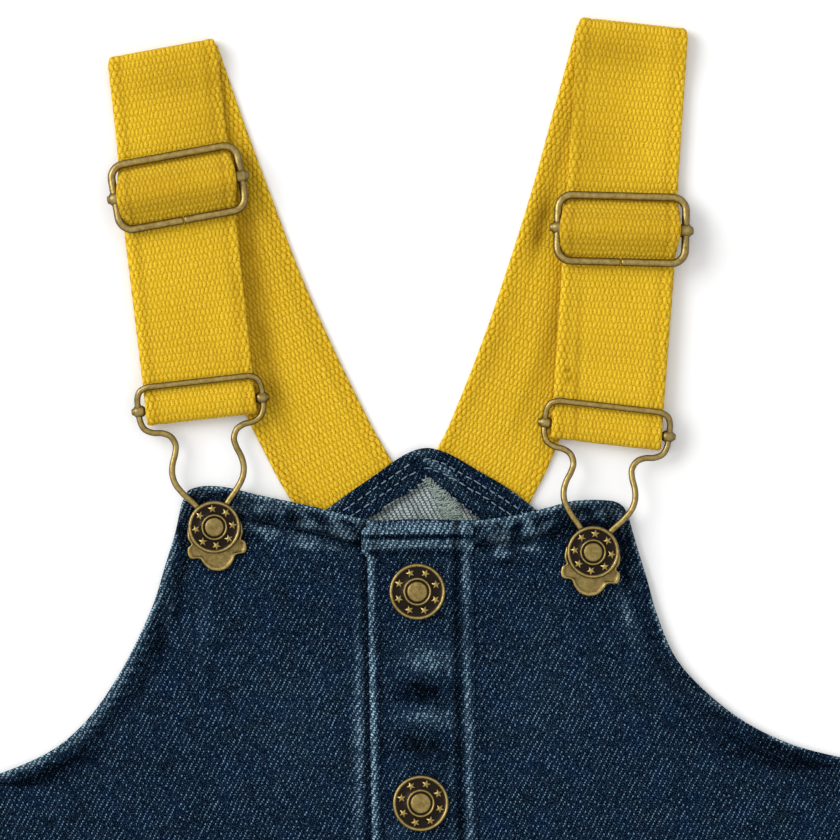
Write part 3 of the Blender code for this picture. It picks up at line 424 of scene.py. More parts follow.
BACK_SPOTS = (
    Spot(3.6, 16.4, 2.6, 0.8, -24.0, 1.6),
    Spot(8.2, 13.8, 3.2, 0.9, -38.0, 1.5),
    Spot(0.0, 19.4, 6.0, 0.8, 8.0, 0.7),
    Spot(-27.0, 3.0, 6.0, 2.0, 36.0, 0.2),
    Spot(-70.0, -190.0, 38.0, 50.0, 0.0, 0.16),
    Spot(70.0, -190.0, 38.0, 50.0, 0.0, 0.16),
    Spot(-88.0, -430.0, 26.0, 1.8, 12.0, 0.2),
    Spot(-80.0, -418.0, 24.0, 1.5, 6.0, 0.16),
    Spot(88.0, -432.0, 26.0, 1.8, -11.0, 0.2),
    Spot(82.0, -417.0, 24.0, 1.5, -5.0, 0.16),
)

# A band is a broken pale line along an edge: depth is how far into the cloth it lies, length that of its
# pieces, and the higher the cut, the less of it is left; a band of negative strength is a dark line of
# painted shade. A hem's puckers have a pitch and a relief, are rubbed on top and have painted shade between
# them, and end at a pressed line of stitches, also painted darker.
Band = namedtuple("Band", "depth width strength length cut")
Hem = namedtuple("Hem", "depth pitch relief rub shade line bands")
BIB_TOP_HEM = Hem(
    BIB_HEM, 7.4, 0.56, 1.05, 0.75, 1.0,
    (
        Band(0.6, 0.8, 1.6, 6.0, -0.75),
        Band(2.6, 1.0, 0.35, 4.0, -0.2),
        Band(5.4, 1.2, 0.75, 5.0, -0.15),
        Band(9.8, 1.3, 0.6, 5.5, -0.05),
    ),
)
PLACKET_TOP_HEM = Hem(
    BIB_HEM, 9.0, 0.3, 0.2, 0.2, 1.0,
    (Band(2.6, 1.6, 1.0, 7.0, -0.9), Band(7.2, 1.4, 1.0, 7.0, -0.8), Band(4.9, 0.6, -1.1, 20.0, -1.5)),
)
ARMHOLE_EDGES = {
    "left": Hem(
        ARMHOLE_HEM, 3.6, 0.36, 0.3, 0.55, 0.8,
        (Band(0.5, 0.8, 1.3, 16.0, -1.0), Band(9.0, 0.9, 0.25, 8.0, -0.1)),
    ),
    "right": Hem(
        ARMHOLE_HEM, 3.6, 0.2, 0.25, 0.45, 0.3,
        (Band(0.4, 0.75, 1.3, 9.0, -0.6), Band(7.0, 0.9, 0.2, 8.0, -0.1)),
    ),
}
Line = namedtuple("Line", "depth width relief rub shade")
PLACKET_LEFT_LINES = (Line(0.8, 1.0, 0.16, 1.2, 0.0), Line(3.2, 0.9, 0.0, 0.0, 0.5))
PLACKET_RIGHT_LINES = (
    Line(2.3, 1.1, 0.22, 0.7, 0.0),
    Line(5.0, 1.1, -0.16, 0.0, 0.85),
    Line(7.6, 0.9, 0.0, 0.3, 0.0),
)
LEG_END_HEM = Hem(
    LEG_HEM, 8.0, 0.4, 0.5, 0.2, 1.0,
    (Band(0.7, 1.0, 0.9, 8.0, -0.7), Band(17.0, 1.6, 0.5, 5.0, -0.1), Band(22.0, 1.4, 0.4, 6.0, 0.0)),
)
BACK_BANDS = (Band(0.5, 0.6, 0.6, 6.0, -0.3), Band(8.2, 0.8, 0.3, 6.0, -0.2))
BACK_HEM_PEAK = (3.5, 12.2, 0.64, 0.8)  # where its two slopes meet, x and y, and their steepness
SIDE_SEAM = Hem(
    6.0, 7.0, 0.2, 0.45, 0.25, 1.0,
    (Band(1.6, 1.2, 0.55, 9.0, -0.4), Band(7.4, 0.9, 0.3, 7.0, 0.0)),
)


# ------------------------------------------------------------------ small mathematics, on arrays
def ramp(value, start, end):
    """0 at start and 1 at end, with a smooth run between them; start may be the larger."""
    t = np.clip((value - start) / (end - start), 0.0, 1.0)
    return t * t * (3 - 2 * t)


def mix(a, b, t):
    return a + (b - a) * t


def bell(value, width):
    return np.exp(-((value / width) ** 2))


def chord_lengths(points):
    steps = np.linalg.norm(np.diff(points, axis=0), axis=1)
    return np.concatenate([[0.0], np.cumsum(steps)])


def unit(vectors):
    return vectors / np.linalg.norm(vectors, axis=1)[:, None]


def curve_through(points, at, where=None):
    """Values at the places `at` of a smooth curve through points that lie at the places `where`."""
    points = np.asarray(points, float)
    where = chord_lengths(points) if where is None else np.asarray(where, float)
    gaps = where.reshape((-1,) + (1,) * (points.ndim - 1))
    slopes = np.empty_like(points)
    slopes[1:-1] = (points[2:] - points[:-2]) / (gaps[2:] - gaps[:-2])
    slopes[0] = (points[1] - points[0]) / (gaps[1] - gaps[0])
    slopes[-1] = (points[-1] - points[-2]) / (gaps[-1] - gaps[-2])
    at = np.clip(np.asarray(at, float), where[0], where[-1])
    i = np.clip(np.searchsorted(where, at, side="right") - 1, 0, len(where) - 2)
    span = where[i + 1] - where[i]
    t = (at - where[i]) / span
    if points.ndim > 1:
        t, span = t[..., None], span[..., None]
    return (
        points[i] * (1 + 2 * t) * (1 - t) ** 2
        + slopes[i] * span * t * (1 - t) ** 2
        + points[i + 1] * t * t * (3 - 2 * t)
        + slopes[i + 1] * span * t * t * (t - 1)
    )


def spaced_along(points, count):
    """Points at even steps along a smooth curve through the given ones."""
    points = np.array(points, float)
    return curve_through(points, np.linspace(0, chord_lengths(points)[-1], count))


def picked(at, steps, spacing):
    """Places out of the dense ones in at, spaced as asked; steps are the lengths between the dense ones."""
    count = np.concatenate([[0.0], np.cumsum(steps / spacing[1:])])
    return np.interp(np.linspace(0, count[-1], int(count[-1]) + 1), count, at)


def edge_height(edge, x):
    """y of a top edge at x."""
    edge = np.asarray(edge, float)
    return curve_through(edge[:, 1], x, edge[:, 0])


def edge_slope(edge, x):
    return edge_height(edge, x + 0.5) - edge_height(edge, x - 0.5)


def noise(u, v, seed):
    """Smooth value noise from -1 to 1, one hill or hollow for each unit of u and v."""
    lattice = np.random.RandomState(seed).uniform(-1, 1, (64, 64))
    i, j = np.floor(u).astype(int), np.floor(v).astype(int)
    s, t = u - i, v - j
    s, t = s * s * (3 - 2 * s), t * t * (3 - 2 * t)
    near = mix(lattice[i % 64, j % 64], lattice[(i + 1) % 64, j % 64], s)
    far = mix(lattice[i % 64, (j + 1) % 64], lattice[(i + 1) % 64, (j + 1) % 64], s)
    return mix(near, far, t)


def turned_by(degrees, x, y):
    turn = math.radians(degrees)
    return x * math.cos(turn) - y * math.sin(turn), x * math.sin(turn) + y * math.cos(turn)


def inside(spot, x, y):
    """Places along and across a turned oval, and how far in they are: 1 in its middle, 0 well outside."""
    along, across = turned_by(-spot.turn, x - spot.x, y - spot.y)
    return along, across, np.exp(-((along / spot.length) ** 2) - (across / spot.width) ** 2)


def spots_at(x, y, spots):
    """Sum of soft spots, their edges broken up."""
    total = sum(spot.strength * inside(spot, x, y)[2] for spot in spots)
    return total * (1 + 0.45 * noise(x / 1.3, y / 2.6, SPOT_SEED))


# ------------------------------------------------------------------ making pieces
def place(points):
    """Garment points in millimetres as points of the frame, in metres."""
    out = np.array(points, float)
    out[..., 1] += MIDDLE_Y
    return out * MM


def volume_of(points, quads):
    a, b, c, d = (points[quads[:, k]] for k in range(4))
    return np.einsum("ij,ij->", a, np.cross(b, c)) + np.einsum("ij,ij->", a, np.cross(c, d))


def add_object(name, data):
    obj = bpy.data.objects.new(name, data)
    bpy.context.scene.collection.objects.link(obj)
    return obj


def add_piece(name, points, faces, materials, replaces=(), attributes=None, picks=None):
    """A piece from points in millimetres; picks gives each face's material, attributes a value a point."""
    mesh = bpy.data.meshes.new(name)
    mesh.from_pydata(place(points), [], faces)
    for key, values in (attributes or {}).items():
        vector = values.ndim == 2
        layer = mesh.attributes.new(key, "FLOAT_VECTOR" if vector else "FLOAT", "POINT")
        layer.data.foreach_set("vector" if vector else "value", values.astype(np.float32).ravel())
    for material in materials:
        mesh.materials.append(material)
    if picks is not None:
        mesh.polygons.foreach_set("material_index", np.asarray(picks, np.int32))
    mesh.shade_smooth()
    obj = add_object(name, mesh)
    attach(obj, "root")
    if replaces:
        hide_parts(*replaces)
    return obj


def grid_quads(rows, columns, start=0):
    corner = (np.arange(rows - 1)[:, None] * columns + np.arange(columns - 1)[None, :]).ravel() + start
    return np.stack([corner, corner + 1, corner + columns + 1, corner + columns], 1)


def rim_of(rows, columns):
    """Numbers of a grid's points, all the way round its rim."""
    rim = list(range(columns - 1))
    rim += [r * columns + columns - 1 for r in range(rows - 1)]
    rim += [(rows - 1) * columns + c for c in range(columns - 1, 0, -1)]
    rim += [r * columns for r in range(rows - 1, 0, -1)]
    return np.array(rim)


def add_shell(name, upper, lower, materials, replaces, attributes, picks=(None, 0)):
    """A thin closed wall between two grids of points.

    attributes are pairs of grids, for the upper and the lower face; picks are the upper faces' materials
    as a grid, or None, and the lower faces' one material.
    """
    rows, columns = upper.shape[:2]
    below = rows * columns
    points = np.concatenate([upper.reshape(-1, 3), lower.reshape(-1, 3)])
    top, bottom = grid_quads(rows, columns), grid_quads(rows, columns, below)[:, ::-1]
    rim = rim_of(rows, columns)
    following = np.roll(rim, -1)
    sides = np.stack([following, rim, below + rim, below + following], 1)
    quads = np.concatenate([top, bottom, sides])
    if volume_of(points, quads) < 0:
        quads = quads[:, ::-1]
    upper_picks = np.zeros(len(top)) if picks[0] is None else picks[0].ravel()
    chosen = np.concatenate([upper_picks, np.full(len(bottom), picks[1]), np.zeros(len(sides))])
    joined = {}
    for key, (above, under) in attributes.items():
        values = np.concatenate([half.reshape(below, -1) for half in (above, under)])
        joined[key] = values[:, 0] if values.shape[1] == 1 else values
    return add_piece(name, points, quads, materials, replaces, joined, chosen)


class Surface:
    """Heights of a finished piece, for what is laid on it."""

    def __init__(self, obj):
        mesh = obj.data
        corners = np.empty(len(mesh.vertices) * 3, np.float32)
        mesh.vertices.foreach_get("co", corners)
        self.tree = BVHTree.FromPolygons(
            corners.reshape(-1, 3).tolist(), [tuple(face.vertices) for face in mesh.polygons]
        )

    def height(self, x, y, from_below=False):
        start = Vector((x * MM, (y + MIDDLE_Y) * MM, -0.1 if from_below else 0.1))
        hit = self.tree.ray_cast(start, Vector((0, 0, 1 if from_below else -1)))[0]
        return None if hit is None else hit.z / MM


# ------------------------------------------------------------------ materials
class Nodes:
    """Short words for building a material's nodes."""

    def __init__(self, name):
        self.material = bpy.data.materials.new(name)
        self.material.use_nodes = True
        self.tree = self.material.node_tree
        self.shader = self.tree.nodes["Principled BSDF"]

    def add(self, kind, inputs=(), **settings):
        node = self.tree.nodes.new(kind)
        for key, value in settings.items():
            setattr(node, key, value)
        self.feed(node, inputs)
        return node

    def feed(self, node, inputs):
        """Give a node's sockets other nodes' outputs, or plain values."""
        for socket, value in dict(inputs).items():
            if isinstance(value, bpy.types.NodeSocket):
                self.tree.links.new(value, node.inputs[socket])
            elif value is not None:
                node.inputs[socket].default_value = value

    def maths(self, operation, a, b=None, clamp=False):
        return self.add("ShaderNodeMath", {0: a, 1: b}, operation=operation, use_clamp=clamp).outputs[0]

    def chain(self, operation, values, clamp):
        """One operation over several values, clamped at its end if asked."""
        result = values[0]
        for k, value in enumerate(values[1:], 2):
            result = self.maths(operation, result, value, clamp and k == len(values))
        return result

    def times(self, *values, clamp=False):
        return self.chain("MULTIPLY", values, clamp)

    def plus(self, *values, clamp=False):
        return self.chain("ADD", values, clamp)

    def minus(self, a, b, clamp=False):
        return self.maths("SUBTRACT", a, b, clamp)

    def vector(self, operation, a, b):
        return self.add("ShaderNodeVectorMath", {0: a, 1: b}, operation=operation).outputs[0]

    def attribute(self, name, output="Fac"):
        return self.add("ShaderNodeAttribute", attribute_name=name).outputs[output]

    def noise(self, vector, scale, detail=2.0, roughness=0.5):
        inputs = {"Vector": vector, "Scale": scale, "Detail": detail, "Roughness": roughness}
        return self.add("ShaderNodeTexNoise", inputs).outputs["Fac"]

    def chance(self, a, b):
        """A random value for each pair of whole numbers."""
        cell = self.add("ShaderNodeCombineXYZ", {0: a, 1: b}).outputs[0]
        return self.add("ShaderNodeTexWhiteNoise", {"Vector": cell}, noise_dimensions="2D").outputs["Value"]

    def between(self, value, low, high, to_low=0.0, to_high=1.0):
        inputs = {"Value": value, 1: low, 2: high, 3: to_low, 4: to_high}
        return self.add("ShaderNodeMapRange", inputs).outputs[0]

    def mix(self, share, a, b):
        """Blend of two colours; a plain tuple is an sRGB colour from 0 to 255."""
        a, b = (linear(c) if isinstance(c, tuple) else c for c in (a, b))
        node = self.add("ShaderNodeMix", {0: share, 6: a, 7: b}, data_type="RGBA")
        return node.outputs[2]

    def darker(self, colour, share):
        return self.add("ShaderNodeHueSaturation", {"Color": colour, "Value": share}).outputs[0]

    def surface(self, colour, roughness, metallic=0.0, **constants):
        named = {key.replace("_", " "): value for key, value in constants.items()}
        inputs = {"Base Color": colour, "Roughness": roughness, "Metallic": metallic, **named}
        self.feed(self.shader, inputs)
        return self.material

    def bump(self, height, strength, distance):
        inputs = {"Height": height, "Strength": strength, "Distance": distance * MM}
        self.feed(self.shader, {"Normal": self.add("ShaderNodeBump", inputs).outputs[0]})


def linear(colour):
    """A linear colour with alpha, from sRGB numbers of 0 to 255."""
    return (*(((c / 255 + 0.055) / 1.055) ** 2.4 if c > 10 else c / 255 / 12.92 for c in colour), 1.0)


# lean is 1 for the face and -1 for the reverse. Of each four warp threads, numbered from 0, the weft covers
# those below 0.5, and those below bared at full wear. Flecks fainter than the loss are lost in the indigo.
Cloth = namedtuple("Cloth", "ground blue fleck worn_ground worn_fleck lean cover speckle bared loss")
DENIM_FACE = Cloth(
    ground=(0, 8, 21), blue=(0, 13, 36), fleck=(118, 156, 187),
    worn_ground=(10, 36, 58), worn_fleck=(174, 208, 224),
    lean=1, cover=1.0, speckle=0.72, bared=2.0, loss=0.15,
)
DENIM_REVERSE = Cloth(
    ground=(2, 10, 18), blue=(4, 14, 24), fleck=(200, 214, 212),
    worn_ground=(60, 74, 80), worn_fleck=(226, 234, 230),
    lean=-1, cover=1.5, speckle=0.1, bared=0.5, loss=-0.15,
)
FLECK_FULL = 0.86


def warped(n, place_on_cloth, *bends):
    """The place on the cloth, moved about by soft noises: pairs of a scale and a reach in millimetres."""
    for scale, reach in bends:
        inputs = {"Vector": place_on_cloth, "Scale": scale, "Detail": 1.0}
        wander = n.add("ShaderNodeTexNoise", inputs).outputs[1]
        centred = n.vector("SUBTRACT", wander, (0.5, 0.5, 0.5))
        place_on_cloth = n.vector("ADD", place_on_cloth, n.vector("MULTIPLY", centred, (reach, reach, 0.0)))
    return place_on_cloth


def twill(n, cloth, across, along, last_bared):
    """Where the weft lies on top, 0 or 1, and how round it is there; across and along count threads.

    The face shows the weft on the first of four warp threads, and on more where wear lays them open. The
    reverse shows it on the others.
    """
    step = n.times(n.maths("FLOOR", along), float(cloth.lean))
    order = n.maths("FLOORED_MODULO", n.minus(n.maths("FLOOR", across), step), 4.0)
    on_face = n.maths("LESS_THAN", order, last_bared)
    in_weft = n.maths("PINGPONG", n.maths("FRACT", along), 0.5)
    if cloth.lean > 0:
        in_warp = n.maths("PINGPONG", n.maths("FRACT", across), 0.5)
        return on_face, n.times(n.between(in_warp, 0.0, 0.2), n.between(in_weft, 0.08, 0.36))
    in_float = n.maths("FLOORED_MODULO", n.minus(across, step), 4.0)
    ends = n.times(n.between(in_float, 1.0, 1.7), n.between(in_float, 4.0, 3.6))
    return n.minus(1.0, on_face), n.times(ends, n.between(in_weft, 0.02, 0.2))


def denim(name, cloth):
    """Three-up, one-down twill: pale weft flecks in slanting lines on an indigo warp, or its reverse."""
    n = Nodes(name)
    place_on_cloth = n.attribute("cloth", "Vector")
    shifted = warped(n, place_on_cloth, (0.22, 1.0), (2.1, 0.36))
    parts = n.add("ShaderNodeSeparateXYZ", {0: shifted}).outputs
    across, along = (n.maths("DIVIDE", parts[k], TWILL[k]) for k in (0, 1))
    ragged = n.between(n.noise(shifted, 1.6, 4.0, 0.65), 0.3, 0.7, 0.5, 1.4)
    rub = n.times(n.attribute("wear"), ragged, clamp=True)
    lifted, roundness = twill(n, cloth, across, along, n.between(rub, 0.1, 0.9, 0.5, cloth.bared))

    chance = n.chance(n.maths("FLOOR", across), n.maths("FLOOR", along))
    if cloth.lean > 0:
        uneven = n.times(n.maths("POWER", chance, 1.3), 1.5)
    else:
        uneven = n.between(chance, 0.0, 1.0, 0.45, 1.0)
    thread = n.noise(n.vector("MULTIPLY", shifted, (2.6, 0.09, 1.0)), 1.0, 3.0)
    patch = n.noise(place_on_cloth, 0.32, 4.0, 0.6)
    thread, patch = n.between(thread, 0.3, 0.7, 0.4, 1.25), n.between(patch, 0.3, 0.7, 0.65, 1.3)
    broken = n.between(n.noise(shifted, 3.4, 1.0, 0.5), 0.38, 0.62, 0.5, 1.6)
    cover = n.between(rub, 0.0, 1.0, cloth.cover, cloth.cover + 1.7)
    fleck = n.times(lifted, roundness, n.times(uneven, thread, patch), broken, cover)
    speckle = n.between(n.noise(shifted, 4.4, 1.0, 0.6), 0.53, 0.78)
    speckle = n.times(speckle, n.between(rub, 0.0, 1.0, cloth.speckle, cloth.speckle + 0.6))
    fleck = n.between(n.plus(fleck, speckle), cloth.loss, 1.0, 0.0, FLECK_FULL)

    hue = n.between(n.noise(place_on_cloth, 0.12, 3.0), 0.35, 0.65)
    ground = n.mix(rub, n.mix(hue, cloth.ground, cloth.blue), cloth.worn_ground)
    colour = n.mix(fleck, ground, n.mix(rub, cloth.fleck, cloth.worn_fleck))
    # painted shade: the shade attribute darkens creases, hollows between puckers, pressed stitch lines and
    # cloth beside steps
    colour = n.darker(colour, n.minus(1.0, n.times(n.attribute("shade"), 0.8)))
    n.bump(n.plus(n.times(roundness, 0.6), n.times(fleck, 0.6), n.noise(shifted, 5.0, 2.0)), 0.5, 0.16)
    return n.surface(colour, n.between(chance, 0.0, 1.0, 0.8, 0.95), Specular_IOR_Level=0.01)


def webbing_material():
    """Yellow cotton webbing: oval grains that interlock, each row across the strap half a grain aside."""
    n = Nodes("webbing_weave")
    place_on_cloth = n.attribute("cloth", "Vector")
    shifted = warped(n, place_on_cloth, (0.3, 1.2), (0.9, 0.36), (2.6, 0.26))
    parts = n.add("ShaderNodeSeparateXYZ", {0: shifted}).outputs
    rib, shade = n.attribute("rib"), n.attribute("shade")
    across = n.maths("COSINE", n.times(parts[0], math.tau / RIB[0]))
    phase = n.times(parts[1], math.pi / RIB[1])
    grain = n.times(across, n.maths("COSINE", phase))
    swing = n.times(across, n.maths("SINE", phase), GRAIN_BULGE)
    rows = n.maths("COSINE", n.times(n.minus(phase, swing), 2.0))
    columns = n.times(n.maths("COSINE", n.times(parts[0], math.tau / COLUMN)), n.minus(rib, 1.0))
    depth = n.times(n.between(n.noise(place_on_cloth, 0.45, 2.0), 0.35, 0.65, 0.5, 1.15), rib)
    fibre = n.noise(n.vector("MULTIPLY", shifted, (4.4, 2.8, 1.0)), 1.0, 4.0, 0.75)
    patch = n.noise(place_on_cloth, 0.16, 3.0)

    fuzz = n.between(fibre, 0.34, 0.66, -0.25, 1.2)
    bright = n.plus(n.times(grain, depth, 0.14), n.times(rows, depth, 0.1), n.times(columns, 0.35))
    tone = n.plus(bright, fuzz, clamp=True)
    joint = n.maths("MAXIMUM", n.between(grain, -0.3, -1.0), n.between(rows, -0.55, -1.0, 0.0, 0.6))
    tick = n.times(joint, n.between(fibre, 0.38, 0.62, 1.0, 0.2), rib, clamp=True)
    colour = n.mix(tick, n.mix(tone, (202, 156, 8), (248, 212, 62)), (134, 86, 0))
    colour = n.mix(n.between(patch, 0.4, 0.75, 0.0, 0.25), colour, (216, 168, 18))
    # painted shade: the shade attribute browns and darkens the webbing in its grooves and creases, on the
    # hump and in darker patches
    colour = n.mix(n.times(shade, 0.5, clamp=True), colour, (170, 112, 0))
    colour = n.darker(colour, n.minus(1.0, n.times(shade, 0.5), clamp=True))
    height = n.plus(n.times(grain, 0.4), n.times(columns, 0.3), n.times(rows, 0.35), n.times(fibre, 0.8))
    n.bump(height, 0.7, 0.26)
    return n.surface(
        colour, n.between(fibre, 0.3, 0.7, 0.8, 0.95),
        Sheen_Weight=0.03, Sheen_Roughness=0.5, Specular_IOR_Level=0.06,
    )


def brass_material():
    """Antique plating: satin brass where rubbed, brown-black where its attribute puts patina and painted
    shade.
    """
    n = Nodes("antique_plating")
    spot = n.attribute("cloth", "Vector")
    cloud = n.noise(spot, 0.7, 4.0, 0.6)
    grit = n.noise(spot, 6.0, 3.0, 0.7)
    tarnish = n.attribute("tarnish")
    bare = n.mix(n.between(cloud, 0.3, 0.7), (152, 128, 66), (200, 176, 110))
    bare = n.mix(n.between(grit, 0.44, 0.68, 0.0, 0.75), bare, (70, 52, 20))
    dark = n.mix(n.between(grit, 0.4, 0.7), (20, 14, 10), (46, 36, 27))
    # the attribute brings in the dark colour: patina in hollows, and painted shade on the sides and lower
    # edges
    colour = n.mix(tarnish, bare, dark)
    roughness = n.between(grit, 0.3, 0.7, 0.27, 0.48)
    n.bump(grit, 0.35, 0.06)
    return n.surface(colour, roughness, 0.85)


def thread_material(name, dark, pale):
    n = Nodes(name)
    spot = n.attribute("cloth", "Vector")
    twist = n.noise(n.vector("MULTIPLY", spot, (3.0, 3.0, 1.0)), 1.0, 3.0, 0.6)
    colour = n.mix(n.between(twist, 0.3, 0.7), dark, pale)
    n.bump(twist, 0.4, 0.08)
    return n.surface(colour, n.between(twist, 0.3, 0.7, 0.7, 0.9), Specular_IOR_Level=0.05)


# ------------------------------------------------------------------ how high the cloth lies
def over_tails(x, y, lift, reach_x, reach_y):
    """How far the cloth is lifted by the braces' tails under it."""
    return lift * ramp(np.abs(x), reach_x[1], reach_x[0]) * ramp(y, reach_y[1], reach_y[0])


def back_under(x, y):
    return over_tails(x, y, BACK_LIFT, BACK_LIFT_X, BACK_LIFT_Y)


def front_under(x, y, from_side, from_inner):
    free = ramp(y, *BIB_PRESSED) * ramp(y, -BODY_LENGTH, -BODY_LENGTH + EDGE_RAMP)
    free = free * ramp(from_side, 0, EDGE_RAMP) * ramp(from_inner, 0, EDGE_RAMP)
    folds = sum(fold.height * inside(fold, x, y)[2] for fold in FOLDS)
    lift = over_tails(x, y, FRONT_LIFT, FRONT_LIFT_X, FRONT_LIFT_Y)
    return DENIM + GAP + lift + free * (LOFT + folds)


def turned_hem(depth, distance):
    return HEM_RELIEF * ramp(distance, depth + HEM_STEP, depth)


def top_of_front(x, y):
    """The part's outer face of the front near the middle and on the bib, which its metal sits on."""
    x, y = np.asarray(x, float), np.asarray(y, float)
    at_top = turned_hem(BIB_HEM, edge_height(FRONT_TOP, x) - y)
    return front_under(x, y, EDGE_RAMP, EDGE_RAMP) + DENIM + at_top


def highest(surface, centre, radius):
    """Highest value of a surface on a round spot about centre."""
    turns = np.arange(8) * math.pi / 4
    x = centre[0] + radius * np.concatenate([[0.0], np.cos(turns)])
    y = centre[1] + radius * np.concatenate([[0.0], np.sin(turns)])
    return float(np.max(surface(x, y)))


# ------------------------------------------------------------------ denim panels
def panel_rows(table):
    """Rows of a cut, coarse on the leg, fine on the bib and finest at the hems."""
    table = np.array(table)
    where = chord_lengths(table)
    at = np.linspace(0, where[-1], 16000)
    dense = curve_through(table, at, where)
    y = (dense[:, 1] + dense[:, 3]) / 2
    spacing = mix(ROW_SPACING[0], ROW_SPACING[1], ramp(y, FINE_FROM - 20, FINE_FROM))
    from_end = np.minimum(y - y[0], y[-1] - y)
    spacing = mix(RIM_SPACING, spacing, ramp(from_end, 1.5, 6.0))
    return curve_through(table, picked(at, np.abs(np.diff(y)), spacing), where)


def pulled_to_edge(x, side_y, inner_y, share, top_edge, hem):
    """y of points at a share of their rows' width, the last rows bent to follow the top edge."""
    y = mix(side_y, inner_y, share)
    straight = mix(side_y[-1], inner_y[-1], share)
    fade = ramp(y, straight - TOP_EDGE_BLEND, straight - hem - HEM_STEP)
    return y + fade * (edge_height(top_edge, x) - straight)


Panel = namedtuple("Panel", "x y from_side from_inner from_top from_hem from_armhole along_side")


def lay_out(sign, rows, columns, top_edge, hem, seam):
    """The places of a half's points, and their distances from its edges, as grids."""
    side_x, side_y, inner_x, inner_y = (column[:, None] for column in rows.T)
    inner_x = np.maximum(inner_x, 0.0)
    start = sign * side_x
    end = sign * (inner_x + MEET) + seam(inner_y)
    width = np.abs(end - start)
    near, far = np.array(EDGE_COLUMNS)[None], width - np.array(RIM_COLUMNS)[None]
    even = near[:, -1:] + (far[:, :1] - near[:, -1:]) * np.arange(1, columns)[None] / columns
    from_side = np.concatenate([near + 0 * width, even, far], axis=1)
    share = from_side / width
    x = start + np.sign(end - start) * from_side
    y = pulled_to_edge(x, side_y, inner_y, share, top_edge, hem)

    from_top = (edge_height(top_edge, x) - y) / np.sqrt(1 + edge_slope(top_edge, x) ** 2)
    edge = np.stack([start[:, 0], side_y[:, 0]], 1)
    run = unit(np.gradient(edge, axis=0))
    row_run = unit(np.stack([(end - start)[:, 0], (inner_y - side_y)[:, 0]], 1))
    squareness = np.abs(run[:, 0] * row_run[:, 1] - run[:, 1] * row_run[:, 0])[:, None]
    from_armhole = np.where(side_y < UNDERARM, FAR, from_side * np.maximum(squareness, 0.3))
    from_inner = np.where(inner_x > 0, width - from_side, FAR)
    along_side = chord_lengths(edge)[:, None] + 0 * x
    return Panel(x, y, from_side, from_inner, from_top, y + BODY_LENGTH, from_armhole, along_side)


def rounded(distance, radius):
    """How much of its half thickness a wall has at a distance from its edge."""
    t = np.clip(distance / radius, 0.0, 1.0)
    return np.sqrt(1 - (1 - t) ** 2)


def rope(along, share, pitch, seed):
    """Slanting puckers of a sewn hem, 0 to 1: along is the distance along it, share the depth into it."""
    phase = along / pitch + 0.5 * share + 0.9 * noise(along / 17, share, seed)
    waves = 0.5 + 0.5 * np.sin(2 * math.pi * phase)
    strength = 0.6 + 0.4 * noise(along / 8, share * 1.5, seed + 1)
    return waves * strength * np.sin(math.pi * np.clip(share, 0, 1)) ** 0.6


def band_wear(bands, depth, along, seed):
    """Sum of broken pale bands along an edge: depth is the distance into the cloth from it."""
    total = np.zeros(np.shape(depth))
    for i, band in enumerate(bands):
        breaks = noise(along / band.length + 0.1 * depth, depth / 5, seed + 2 * i)
        wobble = 0.45 * noise(along / 9, 0 * along, seed + 2 * i + 1)
        shown = ramp(breaks, band.cut, band.cut + 0.55)
        total += band.strength * bell(depth - band.depth - wobble, band.width) * shown
    return total


def hem_detail(hem, distance, along, seed):
    """Relief, wear and shade of a hem: puckers, pale bands and the pressed line of its stitches."""
    share = distance / hem.depth
    puckers = rope(along, share, hem.pitch, seed)
    line = hem.line * bell(distance - hem.depth + 0.9, 0.55)
    beyond = bell(distance - hem.depth - 1.4, 1.1)
    within = np.where((share > 0.12) & (share < 1), 1 - puckers, 0)
    relief = hem.relief * puckers - 0.24 * line
    wear = hem.rub * puckers**1.6 + band_wear(hem.bands, distance, along, seed + 2)
    # painted shade along the pressed line, just past the hem's step and in the hollows between puckers
    shade = 0.6 * line + 0.4 * beyond + hem.shade * within
    return relief, wear, shade


def summed(details):
    """The sums of several details' relief, wear and shade."""
    return (sum(detail[k] for detail in details) for k in range(3))


def front_detail(p, side):
    """Fine relief, wear and shade of a front half's outer face."""
    seed = FRONT_SEEDS[side]
    body = ramp(p.y, UNDERARM + 6, UNDERARM - 6)
    parts = [
        hem_detail(BIB_TOP_HEM, p.from_top, p.x, seed),
        hem_detail(ARMHOLE_EDGES[side], p.from_armhole, p.along_side, seed + 6),
        hem_detail(LEG_END_HEM, p.from_hem, p.x, seed + 12),
        [body * part for part in hem_detail(SIDE_SEAM, p.from_side, p.y, seed + 18)],
        [body * part for part in hem_detail(SIDE_SEAM, p.from_inner, p.y, seed + 24)],
    ]
    relief, wear, shade = summed(parts)
    lie = noise(p.x / 26, p.y / 34, seed + 18) + 0.5 * noise(p.x / 11, p.y / 15, seed + 19)
    relief = relief + 0.14 * lie * ramp(p.from_top, 4, 12)
    wear = wear + spots_at(p.x, p.y, FRONT_SPOTS)
    along_placket = ramp(p.y, PLACKET_END - 4, PLACKET_END)
    lean = PLACKET_LEAN * p.y
    groove = bell(p.x - PLACKET_LEFT + lean + 0.9, 1.0) * along_placket
    beyond = p.x - PLACKET_RIGHT + lean
    relief = relief - 0.25 * groove
    # painted shadow: the cloth just left of the band's folded edge and just past its seam is darkened
    shade = shade + 0.8 * groove + 0.25 * bell(beyond - 0.3, 0.5) * along_placket
    # negative wear, from the dark spots and bands, becomes painted shade
    return relief, np.clip(wear, -0.4, 1.0), np.clip(shade - DARK_SPOT * np.minimum(wear, 0), 0, 1)


def beside_placket(x, y):
    """How far the front rises to meet the band's flat edge."""
    beyond = x - PLACKET_RIGHT + PLACKET_LEAN * y
    rise = np.where(beyond < 0, ramp(beyond, -4, 0), ramp(beyond, 13, 0))
    return SEAM_RISE * rise * ramp(y, PLACKET_END - 10, PLACKET_END)


